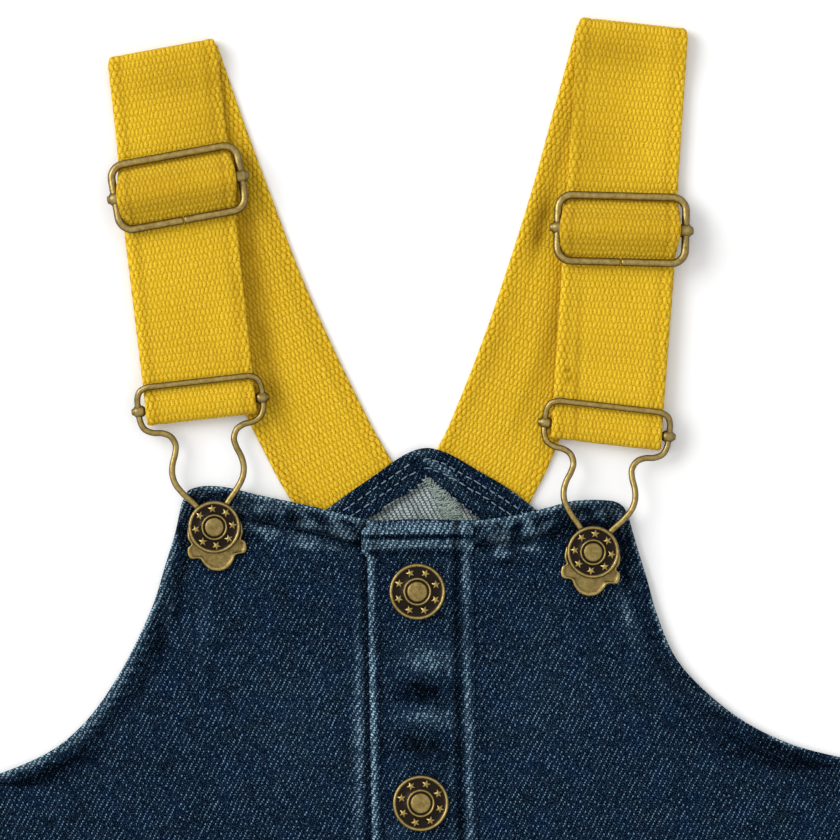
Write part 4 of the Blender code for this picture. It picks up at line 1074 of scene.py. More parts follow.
def add_denim(node, name, x, y, heights, fullness, wear, shade, materials, picks=(None, 0)):
    """A shell of denim between two grids of heights, the upper first; fullness thins it at its edges."""
    middle = (heights[0] + heights[1]) / 2
    upper, lower = (np.stack([x, y, middle + (height - middle) * fullness], 2) for height in heights)
    cloth = np.stack([x, y, 0 * x], 2)
    grids = {"cloth": (cloth, cloth), "wear": wear, "shade": shade}
    return add_shell(name, upper, lower, materials, [node], grids, picks)


def add_front(side, sign, face, reverse):
    rows = panel_rows([*LEG_AND_BODY, *FRONT_ARMHOLES[side]])
    p = lay_out(sign, rows, FRONT_COLUMNS, FRONT_TOP, BIB_HEM, underlap)
    under = front_under(p.x, p.y, p.from_side, np.minimum(p.from_inner, EDGE_RAMP))
    under = under + beside_placket(p.x, p.y)
    sewn = bell(p.from_side, 1.2) * ramp(p.y, UNDERARM + 3, UNDERARM - 3) + bell(p.from_inner, 1.2)
    under = under - (GAP - SEWN_GAP) * sewn
    hems = [
        turned_hem(BIB_HEM, edge_height(FRONT_TOP, p.x) - p.y),
        turned_hem(ARMHOLE_HEM, p.from_armhole),
        turned_hem(LEG_HEM, p.from_hem),
    ]
    fine, wear, shade = front_detail(p, side)
    upper = under + DENIM + np.maximum.reduce(hems) + fine
    edges = [p.from_armhole, p.from_top, p.from_hem, p.from_side, p.from_inner]
    fullness = rounded(np.minimum.reduce(edges), EDGE_ROUNDING["front"])
    return add_denim(
        f"front_{side}", f"front_{side}_cloth", p.x, p.y, (upper, under), fullness,
        (wear, 0 * wear + 0.1), (shade, 0 * shade), [face, reverse], (None, 1),
    )


def underlap(y):
    return UNDERLAP * ramp(y, PLACKET_END, PLACKET_END + UNDERLAP_RAMP)


def hem_line_of_back(x):
    """Where the back's turned hem ends inside: two slopes that meet under the peak."""
    peak_x, peak_y, left_slope, right_slope = BACK_HEM_PEAK
    return peak_y - np.where(x < peak_x, left_slope * (peak_x - x), right_slope * (x - peak_x))


def back_inside(p, into, seed):
    """Relief, wear, shade and puckers of a back half's inner face; into is the distance below its hem."""
    hemmed = ramp(np.abs(p.x), BACK_HEM_X[1], BACK_HEM_X[0])
    puckers = rope(p.x, p.from_top / BACK_HEM_PUCKERS[0], BACK_HEM_PUCKERS[1], seed) * hemmed
    rows = sum(bell(p.from_top - row, 0.5) for row in PEAK_STITCH_ROWS)
    slant, start, pitch, width = BACK_CREASES
    creases = bell((p.x + slant * p.y + start) % pitch - pitch / 2, width) * ramp(into, 0, 3)
    relief = HEM_RELIEF * ramp(into, HEM_STEP, 0) * hemmed
    relief = relief + (0.25 * puckers - 0.14 * rows * hemmed) * ramp(p.from_top, 0, 1.0)
    relief = relief - 0.1 * creases * ramp(p.y, -20, 0)
    wear = 0.3 * puckers**1.8 + band_wear(BACK_BANDS, p.from_top, p.x, seed + 30)
    wear = wear + spots_at(p.x, p.y, BACK_SPOTS)
    # painted shade in the pressed stitch rows, below the hem's step and in the creases; the turned hem is
    # darker all over
    shade = 0.5 * rows * hemmed + 0.8 * bell(into - 1.0, 1.3)
    shade = shade + 0.3 * creases + 0.3 * ramp(into, 0, -1) * hemmed
    return relief, wear, shade, puckers


def back_outside(p, puckers, seed):
    """Relief, wear and shade of a back half's outer face, which lies on the floor."""
    parts = [
        hem_detail(SIDE_SEAM, p.from_side, p.y, seed + 4),
        hem_detail(SIDE_SEAM, p.from_inner, p.y, seed + 6),
        hem_detail(LEG_END_HEM, p.from_hem, p.x, seed + 8),
    ]
    relief, wear, shade = summed(parts)
    return relief, wear + 0.6 * puckers**1.6 + spots_at(p.x, p.y, BACK_SPOTS[2:]), shade


def add_back(side, sign, face, reverse):
    seed = BACK_SEEDS[side]
    rows = panel_rows([*LEG_AND_BODY, *BACK_ARMHOLE])
    p = lay_out(sign, rows, BACK_COLUMNS, BACK_TOP, BACK_HEM, lambda y: 0.0 * y)
    into = hem_line_of_back(p.x) - p.y
    relief, wear, shade, puckers = back_inside(p, into, seed)
    outer_relief, outer_wear, outer_shade = back_outside(p, puckers, seed)
    under = back_under(p.x, p.y)
    upper = under + DENIM + relief
    under = under - np.minimum(outer_relief, 0)  # only its hollows: the pressed lines of stitches
    edges = [p.from_side, p.from_inner, p.from_top, p.from_hem]
    fullness = rounded(np.minimum.reduce(edges), EDGE_ROUNDING["back"])
    shows_reverse = (into[:-1, :-1] > REVERSE_FROM).astype(float)
    wears, shades = (wear, outer_wear), (shade, outer_shade)
    return add_denim(
        f"back_{side}", f"back_{side}_cloth", p.x, p.y, (upper, under), fullness,
        np.clip(wears, 0, 1), np.clip(shades, 0, 1), [face, reverse], (shows_reverse, 0),
    )


def placket_detail(x, y, from_left, from_right, from_top):
    """Fine relief, wear and shade of the button band."""
    lines = [(line, bell(from_left - line.depth, line.width)) for line in PLACKET_LEFT_LINES]
    lines += [(line, bell(from_right - line.depth, line.width)) for line in PLACKET_RIGHT_LINES]
    streak = 0.85 + 0.35 * noise(y / 5, 0 * y, PLACKET_SEED + 6)
    top = hem_detail(PLACKET_TOP_HEM, from_top, x, PLACKET_SEED)
    lie = noise(x / 7, y / 9, PLACKET_SEED + 4) + 0.6 * noise(x / 3.5, y / 14, PLACKET_SEED + 5)
    relief = sum(line.relief * there for line, there in lines) + 0.12 * lie + top[0]
    wear = sum(line.rub * there for line, there in lines) * streak + top[1] + spots_at(x, y, PLACKET_SPOTS)
    # painted shade in the grooves beside the band's stitched lines and in its top hem
    shade = sum(line.shade * there for line, there in lines) + top[2] * 0.6
    # negative wear, from the dark spots and bands, becomes painted shade
    shade = np.clip(shade - DARK_SPOT * np.minimum(wear, 0), 0, 1)
    return relief * ramp(from_right, 0, 1.2), np.clip(wear, 0, 1), shade


def add_placket(face):
    """The folded button band: a free fold on its left, sewn flat into the right front on its right."""
    rows = panel_rows([*LEG_AND_BODY, *FRONT_ARMHOLES["right"]])
    rows = rows[rows[:, 3] > PLACKET_END]
    width = PLACKET_RIGHT - PLACKET_LEFT
    inset, *rim = RIM_COLUMNS
    even = np.linspace(inset, width - inset, PLACKET_COLUMNS)
    across = np.concatenate([rim[::-1], even, width - np.array(rim)])
    side_x, side_y, _, inner_y = (column[:, None] for column in rows.T)
    x = PLACKET_LEFT + across[None] - PLACKET_LEAN * inner_y
    y = pulled_to_edge(x, side_y, inner_y, 1 - np.abs(x) / side_x, FRONT_TOP, BIB_HEM)
    from_left, from_right = across[None] + 0 * x, width - across[None] + 0 * x
    from_top, from_end = edge_height(FRONT_TOP, x) - y, y - y[:1]
    jut = ramp(from_top, 11.5, 9.0) * ramp(from_top, 1.2, 4.0)
    x = x - CORNER_JUT * jut * ramp(from_left, 7.0, 0.0)

    under = top_of_front(x, y) + GAP + PLACKET_EASE
    thick = mix(BAND_EDGE_THICK, PLACKET_THICK, ramp(from_right, BAND_EDGE[1], BAND_EDGE[0]))
    relief, wear, shade = placket_detail(x, y, from_left, from_right, from_top)
    closeness = np.minimum.reduce([from_left, from_right, from_top, from_end])
    at_seam = np.maximum(rounded(closeness, 0.2), 0.5)
    fullness = np.where(from_right < 1.0, at_seam, rounded(closeness, EDGE_ROUNDING["placket"]))
    return add_denim(
        "placket", "placket_band", x, y, (under + thick + relief, under), fullness,
        (wear, 0 * wear), (shade, shade), [face],
    )


# ------------------------------------------------------------------ webbing
Strand = namedtuple("Strand", "centre turn skew width")


def front_height(s, slider_s, clip_s):
    """Height of the webbing's middle at a distance s from the fold at the top."""
    if s < SETTLE:
        return mix(ON_FLOOR + 2 * FOLD_RADIUS, ON_BACK, ramp(s, 0, SETTLE))
    if s < slider_s:
        return mix(ON_BACK, HUMP, ramp(s, slider_s - HUMP_HALF, slider_s))
    if s < slider_s + HUMP_HALF:
        return mix(HUMP, ON_RETURN, ramp(s, slider_s, slider_s + HUMP_HALF))
    return mix(ON_RETURN, OVER_CLIP_BAR, ramp(s, clip_s - CLIP_BAR + 0.4, clip_s))


def clip_point(brace, x, up):
    """A point of a clip in its own frame, from its button's centre, as a garment (x, y)."""
    dx, dy = turned_by(brace.clip_turn, x, up)
    return brace.clip[0] + dx, brace.clip[1] + dy


def half_turn(reach, start_height, end_height, steps, sweep=180.0):
    """Points (outward, height) of a turn round a bar, without its first point."""
    middle, half = (start_height + end_height) / 2, (start_height - end_height) / 2
    turns = [math.radians(sweep * i / steps) for i in range(1, steps + 1)]
    return [(reach * math.sin(turn), middle + half * math.cos(turn)) for turn in turns]


def back_strand(brace):
    """From the sewn tail on the back up to the fold at the top."""
    points = np.array([*reversed(brace.back_route), brace.fold])
    where = np.arange(len(points), dtype=float)
    at = np.arange(0, len(points) - 1, 0.1)
    route = curve_through(points, at, where)
    run = np.gradient(route, axis=0)
    headings = np.degrees(np.arctan2(-run[:, 0], run[:, 1]))
    widths = mix(BACK_STRAND_WIDTH, WEBBING_WIDTH, at / at[-1])
    return [
        Strand((x, y, ON_FLOOR), heading, 0.0, width)
        for (x, y), heading, width in zip(route, headings, widths, strict=True)
    ]


def top_fold(brace):
    out_x, out_y = turned_by(brace.fold_turn, 0.0, 1.0)
    bend = [(0.0, ON_FLOOR), *half_turn(FOLD_RADIUS, ON_FLOOR, ON_FLOOR + 2 * FOLD_RADIUS, 12)]
    x, y = brace.fold
    strands = []
    for out, height in bend:
        width = WEBBING_WIDTH - FOLD_NARROWING * out / FOLD_RADIUS
        strands.append(Strand((x + out_x * out, y + out_y * out, height), brace.fold_turn, 0.0, width))
    return strands


def front_strand(brace):
    """From the fold over the slider's bar, round the clip's bar and back round the slider's."""
    fold = np.array(brace.fold)
    bar = np.array(clip_point(brace, 0, CLIP_LENGTH - CLIP_BAR))
    clip_s = float(np.linalg.norm(bar - fold))
    down = (bar - fold) / clip_s
    aside = np.array((-down[1], down[0])) * SIDES[brace.side]
    heading = math.degrees(math.atan2(down[0], -down[1]))
    slider_s = float((np.array(brace.slider) - fold) @ down)

    def station(s, height, shift=0.0, width=WEBBING_WIDTH):
        turn = mix(brace.fold_turn, brace.slider_turn, ramp(s, 0, slider_s - HUMP_HALF))
        turn = mix(turn, brace.clip_turn, ramp(s, slider_s + HUMP_HALF, clip_s - CLIP_BAR))
        x, y = fold + down * s + aside * shift
        return Strand((x, y, height), turn, turn - heading, width)

    over_hump = (slider_s - HUMP_HALF, slider_s + HUMP_HALF)
    stops = [*np.arange(2.0, over_hump[0], 2.0)]
    stops += [*np.linspace(*over_hump, 19)]
    stops += [*np.linspace(over_hump[1] + 2, clip_s - CLIP_BAR, 20)]
    stops += [clip_s - CLIP_BAR * k / 6 for k in (5, 4, 3, 2, 1, 0)]
    run = []
    for s in stops:
        width = WEBBING_WIDTH + HUMP_SPREAD * float(bell(s - slider_s, HUMP_SPREAD_REACH))
        run.append(station(s, front_height(s, slider_s, clip_s), 0.0, width))
    run += [station(clip_s + out, z) for out, z in half_turn(CLIP_WRAP_HALF, OVER_CLIP_BAR, ON_BACK, 12)]
    for k in range(1, RETURN_STEPS + 1):
        share = k / RETURN_STEPS
        width = mix(WEBBING_WIDTH, WRAP_WIDTH, share)
        run.append(station(mix(clip_s, slider_s, share), ON_BACK, RETURN_SHIFT * share, width))
    wrap = half_turn(WRAP_HALF, ON_BACK, OVER_BAR, 14, 180.0 + WRAP_TAIL)
    run += [station(slider_s - out, z, RETURN_SHIFT, WRAP_WIDTH) for out, z in wrap]
    return run


def strap_marks(side, base, on_back):
    """Height and shade of a brace's creases and marks on the faces that look up; in the creases the shade
    is painted.
    """
    height, shade = np.zeros(base.shape[:2]), np.zeros(base.shape[:2])
    for strand, there in (("back", on_back), ("front", ~on_back)):
        for mark in STRAP_MARKS[side, strand]:
            along, across, spread = inside(mark, base[..., 0], base[..., 1])
            spread = spread * there * (1 + 0.25 * noise(along / 4, across / 2, MARK_SEED))
            height += mark.height * spread
            shade += mark.shade * spread
    return height, shade


def brace_path(brace):
    """Centres, turns, skews and widths at stations along a brace, denser in its bends, and their places."""
    path = back_strand(brace) + top_fold(brace) + front_strand(brace)
    centres = np.array([strand.centre for strand in path])
    others = np.array([(strand.turn, strand.skew, strand.width) for strand in path])
    keep = np.concatenate([[True], np.diff(chord_lengths(centres)) > 0.05])
    centres, others = centres[keep], others[keep]
    where = chord_lengths(centres)
    bends = np.linalg.norm(np.gradient(np.gradient(centres, where, axis=0), where, axis=0), axis=1)
    dense = np.linspace(0, where[-1], 4000)
    spacing = np.where(np.interp(dense, where, bends) > 0.05, *BRACE_SPACING)
    at = picked(dense, np.diff(dense), spacing)
    fold_at = float(where[np.argmin(np.abs(centres - (*brace.fold, ON_FLOOR)).sum(1))])
    return curve_through(centres, at, where), curve_through(others, at, where).T, at, fold_at, where[-1]


def selvedge_line(from_edge):
    """The groove where the webbing's selvedge begins."""
    return bell(from_edge - SELVEDGE, 0.6)


def webbing_looks(at, reach, from_edge, heights, on_back, mark_shade):
    """Grids of a brace's places on the cloth, its shade and its ribs, for its upper and its lower face."""
    widened = SELVEDGE_GRAINS * np.maximum(SELVEDGE - from_edge, 0)
    cloth = np.stack([reach - np.sign(reach) * widened, at[:, None] + 0 * reach, 0 * reach], 2)
    soft = 0.5 + 0.5 * noise(at[:, None] / 14 + 0 * reach, reach / 9, BRACE_SEED)
    # painted shade in the groove where the selvedge begins, with a soft random tone
    shade = 0.25 * selvedge_line(from_edge) + 0.12 * soft
    rib = 1.0 + 0.2 * soft + 0.25 * bell(from_edge - SELVEDGE / 2, SELVEDGE / 2)
    on_hump = ramp(heights[:, None], ON_RETURN + 1.0, HUMP - 1.5)
    # painted shade on the hump over the slider's bar and from the marks; the back strand is a little darker
    back_shade, front_shade = shade + mark_shade + 0.04, shade + mark_shade + 0.22 * on_hump
    return {
        "cloth": (cloth, cloth),
        "shade": (np.where(on_back, back_shade, shade), np.where(on_back, shade, front_shade)),
        "rib": (np.where(on_back, rib + 0.2, rib), rib),
    }


def add_brace(brace, material):
    """One brace of a single webbing, as a thin shell along its path."""
    centre, (turn, skew, width), at, fold_at, length = brace_path(brace)
    on_back = at[:, None] < fold_at
    tangent = unit(np.gradient(centre, at, axis=0))
    across = np.stack([np.cos(np.radians(turn)), np.sin(np.radians(turn)), 0 * turn], 1)
    normal = unit(np.cross(across, tangent))
    half = width / 2 / np.cos(np.radians(skew))
    fine = np.array((1, 0.99, 0.975, 0.95))
    shares = np.concatenate([-fine, np.linspace(-0.91, 0.91, 38), fine[::-1]])
    reach = half[:, None] * shares[None]
    from_edge = half[:, None] - np.abs(reach)
    base = centre[:, None] + across[:, None] * reach[..., None]
    marks, mark_shade = strap_marks(brace.side, base, on_back)

    thick = WEBBING / 2 * (0.15 + 0.85 * rounded(from_edge, 1.2))
    thick = thick - 0.16 * selvedge_line(from_edge) + 0.07 * bell(from_edge - SELVEDGE / 2, 1.0)
    seen = np.clip(marks, -0.5, 0.35) * rounded(from_edge, 2.0)
    upper = base + normal[:, None] * (thick + seen * on_back)[..., None]
    lower = base - normal[:, None] * (thick + seen * ~on_back)[..., None]
    sign = SIDES[brace.side]
    for grid in (upper, lower):
        grid[..., 0] = sign * np.maximum(sign * grid[..., 0], BRACE_TRIM)
        grid[..., 2] = np.maximum(grid[..., 2], 0.0)

    grids = webbing_looks(at, reach, from_edge, centre[:, 2], on_back, mark_shade)
    node = f"brace_{brace.side}"
    return add_shell(f"{node}_webbing", upper, lower, [material], [node], grids), length


# ------------------------------------------------------------------ metal
def circle(sides):
    """Cosines and sines of even steps round a circle."""
    angles = 2 * math.pi * np.arange(sides) / sides
    return np.cos(angles), np.sin(angles)


def tube(points, radius, sides=20, cap=0.35):
    """Points and quads of a round wire along a path, its ends slightly rounded."""
    points = np.asarray(points, float)
    run = unit(np.gradient(points, axis=0))
    sizes = np.full(len(points), radius)
    sizes[[0, -1]] = radius * (1 - cap)
    cos, sin = circle(sides)
    rings = []
    for centre, along, size in zip(points, run, sizes, strict=True):
        aside = np.cross(along, (0.0, 0.0, 1.0))
        aside /= np.linalg.norm(aside)
        over = np.cross(aside, along)
        rings.append(centre + size * (cos[:, None] * aside + sin[:, None] * over))
    return ring_solid(np.array(rings))


def ring_solid(rings):
    """Points and faces of a closed solid through rings of points, its ends closed by fans."""
    count, sides = rings.shape[:2]
    points = np.concatenate([rings.reshape(-1, 3), rings[0].mean(0)[None], rings[-1].mean(0)[None]])
    faces = []
    for r in range(count - 1):
        for i in range(sides):
            a, b = r * sides + i, r * sides + (i + 1) % sides
            faces.append((a, b, b + sides, a + sides))
    first, last = len(points) - 2, len(points) - 1
    for i in range(sides):
        j = (i + 1) % sides
        faces.append((first, j, i))
        faces.append((last, (count - 1) * sides + i, (count - 1) * sides + j))
    return points, faces


def outward(points, faces):
    """The faces, turned over if the solid is inside out."""
    total = 0.0
    for face in faces:
        a = points[face[0]]
        for b, c in zip(face[1:], face[2:]):
            total += float(a @ np.cross(points[b], points[c]))
    return faces if total > 0 else [tuple(reversed(face)) for face in faces]


def join(parts):
    """Several (points, faces) as one."""
    points, faces, start = [], [], 0
    for part_points, part_faces in parts:
        points.append(part_points)
        faces += [tuple(i + start for i in face) for face in outward(part_points, part_faces)]
        start += len(part_points)
    return np.concatenate(points), faces


def add_metal(name, node, parts, material, tarnish=None):
    """A metal piece; where no darkening is given for its points, they are bare but for painted shade down
    their sides.
    """
    points, faces = join(parts)
    if tarnish is None:
        tarnish = np.full(len(points), BARE_TARNISH)
    obj = add_piece(
        name, points, faces, [material], [node], {"cloth": points, "tarnish": tarnish}
    )
    normals = np.empty(len(points) * 3, np.float32)
    obj.data.vertex_normals.foreach_get("vector", normals)
    # painted shade: the more a face turns away from straight up, the darker it is
    tarnish_and_side_shade = np.maximum(tarnish, SIDE_PAINTED_SHADE * ramp(normals[2::3], 0.9, 0.4))
    obj.data.attributes["tarnish"].data.foreach_set("value", tarnish_and_side_shade.astype(np.float32))
    return obj


def quarter_arc(centre, radius, start, steps=10):
    """Points of a quarter circle from a start angle in degrees."""
    angles = [math.radians(start + 90 * i / steps) for i in range(steps + 1)]
    return [(centre[0] + radius * math.cos(a), centre[1] + radius * math.sin(a)) for a in angles]


def add_slider(brace, material):
    """One bent wire whose ends meet in the middle of its lower bar."""
    half_x, half_y = SLIDER_HALF
    inner_x, inner_y = half_x - SLIDER_CORNER, half_y - SLIDER_CORNER
    near_ends = (0.18, 0.3, 0.7)
    outline = [(x, -half_y) for x in near_ends]
    for turn, side, up in ((-90, 1, -1), (0, 1, 1), (90, -1, 1), (180, -1, -1)):
        outline += quarter_arc((side * inner_x, up * inner_y), SLIDER_CORNER, turn)
    outline += [(-x, -half_y) for x in reversed(near_ends)]
    upper, lower = SLIDER_HEIGHTS
    route = []
    for x, y in outline:
        dx, dy = turned_by(brace.slider_turn, x, y)
        height = mix(lower, upper, (y + half_y) / 2 / half_y)
        route.append((brace.slider[0] + dx, brace.slider[1] + dy, height))
    node = f"slider_{brace.side}"
    return add_metal(f"{node}_wire", node, [tube(route, SLIDER_WIRE)], material)


BeadRing = namedtuple("BeadRing", "along more radius")  # along and radius are shares of the bead's radius
BEAD_PROFILE = (
    BeadRing(-1.0, 0.0, 0.72),
    BeadRing(-0.8, 0.0, 0.93),
    BeadRing(-0.5, 0.0, 1.0),
    BeadRing(0.45, 0.0, 1.0),
    BeadRing(0.66, 0.0, 0.9),
    BeadRing(0.85, 0.0, 0.64),
    BeadRing(1.0, 0.15, 0.55),
    BeadRing(1.0, 0.35, 0.42),
    BeadRing(1.0, 0.42, 0.15),
)


def add_bar(holder, side, centre, turn, height, half_span, wire_radius, material):
    """A bar across a frame, its beaded ends closed round the frame's side wires."""
    bead = wire_radius + GAP + BEAD_WALL
    profile = [(half_span - bead - 0.4, BAR_RADIUS)]
    profile += [(half_span + bead * ring.along + ring.more, bead * ring.radius) for ring in BEAD_PROFILE]
    stations = [(-along, radius) for along, radius in reversed(profile)] + profile
    cos, sin = circle(24)
    rings = []
    for along, radius in stations:
        dx, dy = turned_by(turn, along + 0 * cos, radius * cos)
        rings.append(np.stack([centre[0] + dx, centre[1] + dy, height + radius * sin], 1))
    solid = ring_solid(np.array(rings))
    return add_metal(f"{holder}_{side}_beads", f"{holder}_bar_{side}", [solid], material)


def seat_height(brace):
    """Lowest height at which the clip's plate and wires clear the cloth under them."""
    spots = [clip_point(brace, x, up) for x in SEAT_X for up in SEAT_UP]
    return max(float(top_of_front(x, y)) for x, y in spots) + GAP


def add_clip(brace, material):
    """One bent wire, from its one end behind the button round the bar and back to the other."""
    end_height = seat_height(brace) + CLIP_WIRE + PLATE_CLEAR
    half = spaced_along(CLIP_SHAPE, 90)
    bar = np.linspace((-13, CLIP_LENGTH), (13, CLIP_LENGTH), 14)
    outline = np.concatenate([half[::-1] * (-1, 1), bar, half])
    route = []
    for x, up in outline:
        above_bar = max(0.0, up - (CLIP_LENGTH - CLIP_BAR))
        below_bar = float(ramp(up, 12.0, CLIP_LENGTH - CLIP_BAR))
        height = mix(end_height, CLIP_BAR_HEIGHT, below_bar) + CLIP_SLOPE * above_bar
        route.append((*clip_point(brace, x, up), height))
    node = f"clip_{brace.side}"
    return add_metal(f"{node}_wire", node, [tube(route, CLIP_WIRE)], material)


def turned_and_moved(points, turn, x, y, up):
    dx, dy = turned_by(turn, points[:, 0], points[:, 1])
    return np.stack([dx + x, dy + y, points[:, 2] + up], 1)


def shaped(profile, outline, heart, ends):
    """A solid whose rings are an outline shrunk towards a heart, as (points, faces), and its patina and
    painted shade.

    ends are how dark the middles of its first and last ring are.
    """
    rings = []
    for ring in profile:
        flat = heart + (outline - heart) * ring.share
        rings.append(np.column_stack([flat, np.full(len(flat), ring.height)]))
    tarnish = [ring.tarnish for ring in profile for _ in outline]
    return ring_solid(np.array(rings)), [*tarnish, *ends]


# a ring's share of the outline, its height, and its darkening: patina in hollows, painted shade on lower
# edges
Ring = namedtuple("Ring", "share height tarnish")
PLATE_PROFILE = (
    Ring(0.05, 0.0, 0.5),
    Ring(0.985, 0.0, 0.5),
    Ring(1.0, 0.12, 0.3),
    Ring(1.0, 0.62, 0.1),
    Ring(0.975, 0.9, 0.0),
    Ring(0.94, 1.0, 0.0),
    Ring(0.9, 0.95, 0.1),
    Ring(0.86, 0.72, 0.55),
    Ring(0.8, 0.66, 0.4),
    Ring(0.5, 0.66, 0.3),
    Ring(0.05, 0.66, 0.3),
)
PLATE_HEART = (0.0, -4.2)
STAR_PROFILE = (Ring(1.0, 0.0, 0.6), Ring(1.0, 0.3, 0.2), Ring(0.82, 0.5, 0.05), Ring(0.02, 0.575, 0.05))


def add_plate(brace, material):
    """The stamped plate that holds the wire's ends: a raised edge round a sunken face."""
    half = spaced_along(PLATE_SHAPE, 60)
    outline = np.concatenate([half, half[-2:0:-1] * (-1, 1)])
    (points, faces), tarnish = shaped(PLATE_PROFILE, outline, np.array(PLATE_HEART), (0.5, 0.3))
    points = turned_and_moved(points, brace.clip_turn, *brace.clip, seat_height(brace))
    node = f"clip_plate_{brace.side}"
    return add_metal(f"{node}_stamped", node, [(points, faces)], material, np.array(tarnish))


def star(radius):
    """A five-pointed star with a low ridge from its middle to each point."""
    turns = math.pi / 2 + math.pi * np.arange(10) / 5
    reach = np.where(np.arange(10) % 2 == 0, radius, radius * 0.4)
    outline = np.stack([reach * np.cos(turns), reach * np.sin(turns)], 1)
    return shaped(STAR_PROFILE, outline, np.zeros(2), (0.5, 0.05))


def button_profile(radius, shank):
    """Rings of a button from its shank round its rim to the middle of its dome; their shares are radii."""
    field, rim = shank + 1.2, shank + 1.6
    return (
        Ring(0.05, 0.0, 0.4),
        Ring(SHANK_RADIUS, 0.0, 0.4),
        Ring(SHANK_RADIUS, shank, 0.4),
        Ring(radius - 0.75, shank, 0.3),
        Ring(radius - 0.3, shank + 0.1, 0.2),
        Ring(radius - 0.05, shank + 0.42, 0.1),
        Ring(radius, shank + 0.78, 0.05),
        Ring(radius - 0.06, shank + 1.12, 0.0),
        Ring(radius - 0.26, shank + 1.42, 0.0),
        Ring(radius - 0.52, rim, 0.0),
        Ring(radius - 0.8, shank + 1.5, 0.05),
        Ring(radius - 0.98, shank + 1.28, 0.8),
        Ring(radius - 1.15, field - 0.02, 1.0),
        Ring(radius * 0.72, field - 0.06, 1.0),
        Ring(radius * 0.505, field - 0.02, 1.0),
        Ring(radius * 0.49, field + 0.1, 0.4),
        Ring(radius * 0.475, rim - 0.04, 0.0),
        Ring(radius * 0.455, rim, 0.0),
        Ring(radius * 0.435, rim - 0.06, 0.0),
        Ring(radius * 0.415, field + 0.08, 0.9),
        Ring(radius * 0.395, field - 0.05, 1.0),
        Ring(radius * 0.37, field - 0.02, 1.0),
        Ring(radius * 0.352, field + 0.2, 0.6),
        Ring(radius * 0.338, rim - 0.04, 0.4),
        Ring(radius * 0.31, rim + 0.04, 0.3),
        Ring(radius * 0.2, rim + 0.1, 0.34),
        Ring(radius * 0.1, rim + 0.12, 0.34),
        Ring(0.03, rim + 0.13, 0.34),
    )


def add_button(node, centre, base, radius, shank, first_star, turn, material):
    """A jeans button: rolled rim, sunken dark field with stars, inner ring, groove and low dome."""
    outline = np.stack(circle(BUTTON_SIDES), 1)
    body, tarnish = shaped(button_profile(radius, shank), outline, np.zeros(2), (0.4, 0.08))
    parts = [body]
    for k in range(STAR_COUNT):
        angle = first_star + 360 / STAR_COUNT * k
        (points, faces), star_tarnish_and_shade = star(STAR_RADIUS)
        x, y = turned_by(angle, STAR_FIELD * radius, 0.0)
        parts.append((turned_and_moved(points, angle - 90, x, y, shank + STAR_HEIGHT), faces))
        tarnish += star_tarnish_and_shade
    parts = [(turned_and_moved(points, turn, *centre, base), faces) for points, faces in parts]
    return add_metal(f"{node}_cap", node, parts, material, np.array(tarnish))


def add_buttons(material):
    for i in range(BUTTON_COUNT):
        centre = (TOP_BUTTON[0] + i * BUTTON_STEP[0], TOP_BUTTON[1] + i * BUTTON_STEP[1])
        base = highest(top_of_front, centre, BUTTON_RADIUS) + GAP + PLACKET_EASE + PLACKET_THICK + GAP
        node = f"placket_button_{i + 1}"
        add_button(node, centre, base, BUTTON_RADIUS, SHANK_LENGTH, FRONT_STAR, BUTTON_TURNS[i], material)
    for brace in BRACES:
        base = highest(top_of_front, brace.clip, 2 * SHANK_RADIUS) + GAP
        shank = seat_height(brace) + 2 * CLIP_WIRE + PLATE_CLEAR + GAP - base
        node = f"clip_button_{brace.side}"
        add_button(node, brace.clip, base, CLIP_BUTTON_RADIUS, shank, CLIP_STAR, brace.clip_turn, material)


# ------------------------------------------------------------------ stitches
def stitch(start, end, radius):
    """One stitch: a thread that comes up out of the cloth and goes down again."""
    t = np.linspace(0, 1, 6)[:, None]
    points = np.array(start) + (np.array(end) - np.array(start)) * t
    points[:, 2] += radius * np.array((-0.7, 0.45, 0.7, 0.7, 0.45, -0.7))
    return tube(points, radius, 7, 0.25)


def laid_stitch(ends, surface, radius, from_below):
    """One stitch on a finished piece, or None where it misses the cloth."""
    heights = [surface.height(x, y, from_below) for x, y in ends]
    if None in heights:
        return None
    sink = -STITCH_SINK if from_below else STITCH_SINK
    start, end = ((*p, height - sink) for p, height in zip(ends, heights, strict=True))
    points, faces = stitch(start, end, radius)
    if from_below:
        points[:, 2] = start[2] + end[2] - points[:, 2]
        points[:, 2] += max(0.0, -points[:, 2].min())  # flush where the cloth rests on the floor
    return points, faces


def add_stitches(name, lines, surface, material, gauge, seed, from_below=False):
    """Rows of stitches along lines of (x, y) points, laid on a finished piece."""
    random = np.random.RandomState(seed)
    parts = []
    for line in lines:
        line = np.asarray(line, float)
        for s in np.arange(0.3, chord_lengths(line)[-1] - gauge.pitch, gauge.pitch):
            ends = curve_through(line, [s, s + gauge.pitch * random.uniform(*STITCH_SHARE)])
            ends = ends + random.uniform(-STITCH_STRAY, STITCH_STRAY, ends.shape)
            parts.append(laid_stitch(ends, surface, gauge.radius, from_below))
    points, faces = join([part for part in parts if part])
    return add_piece(name, points, faces, [material], (), {"cloth": points})


def side_line(table, sign, inwards, low, high):
    """A line at a distance inside a half's outer edge, between two heights."""
    rows = spaced_along(table, 900)
    edge = np.stack([sign * rows[:, 0], rows[:, 1]], 1)
    run = unit(np.gradient(edge, axis=0))
    line = edge + sign * inwards * np.stack([-run[:, 1], run[:, 0]], 1)
    return line[(line[:, 1] > low) & (line[:, 1] < high)]


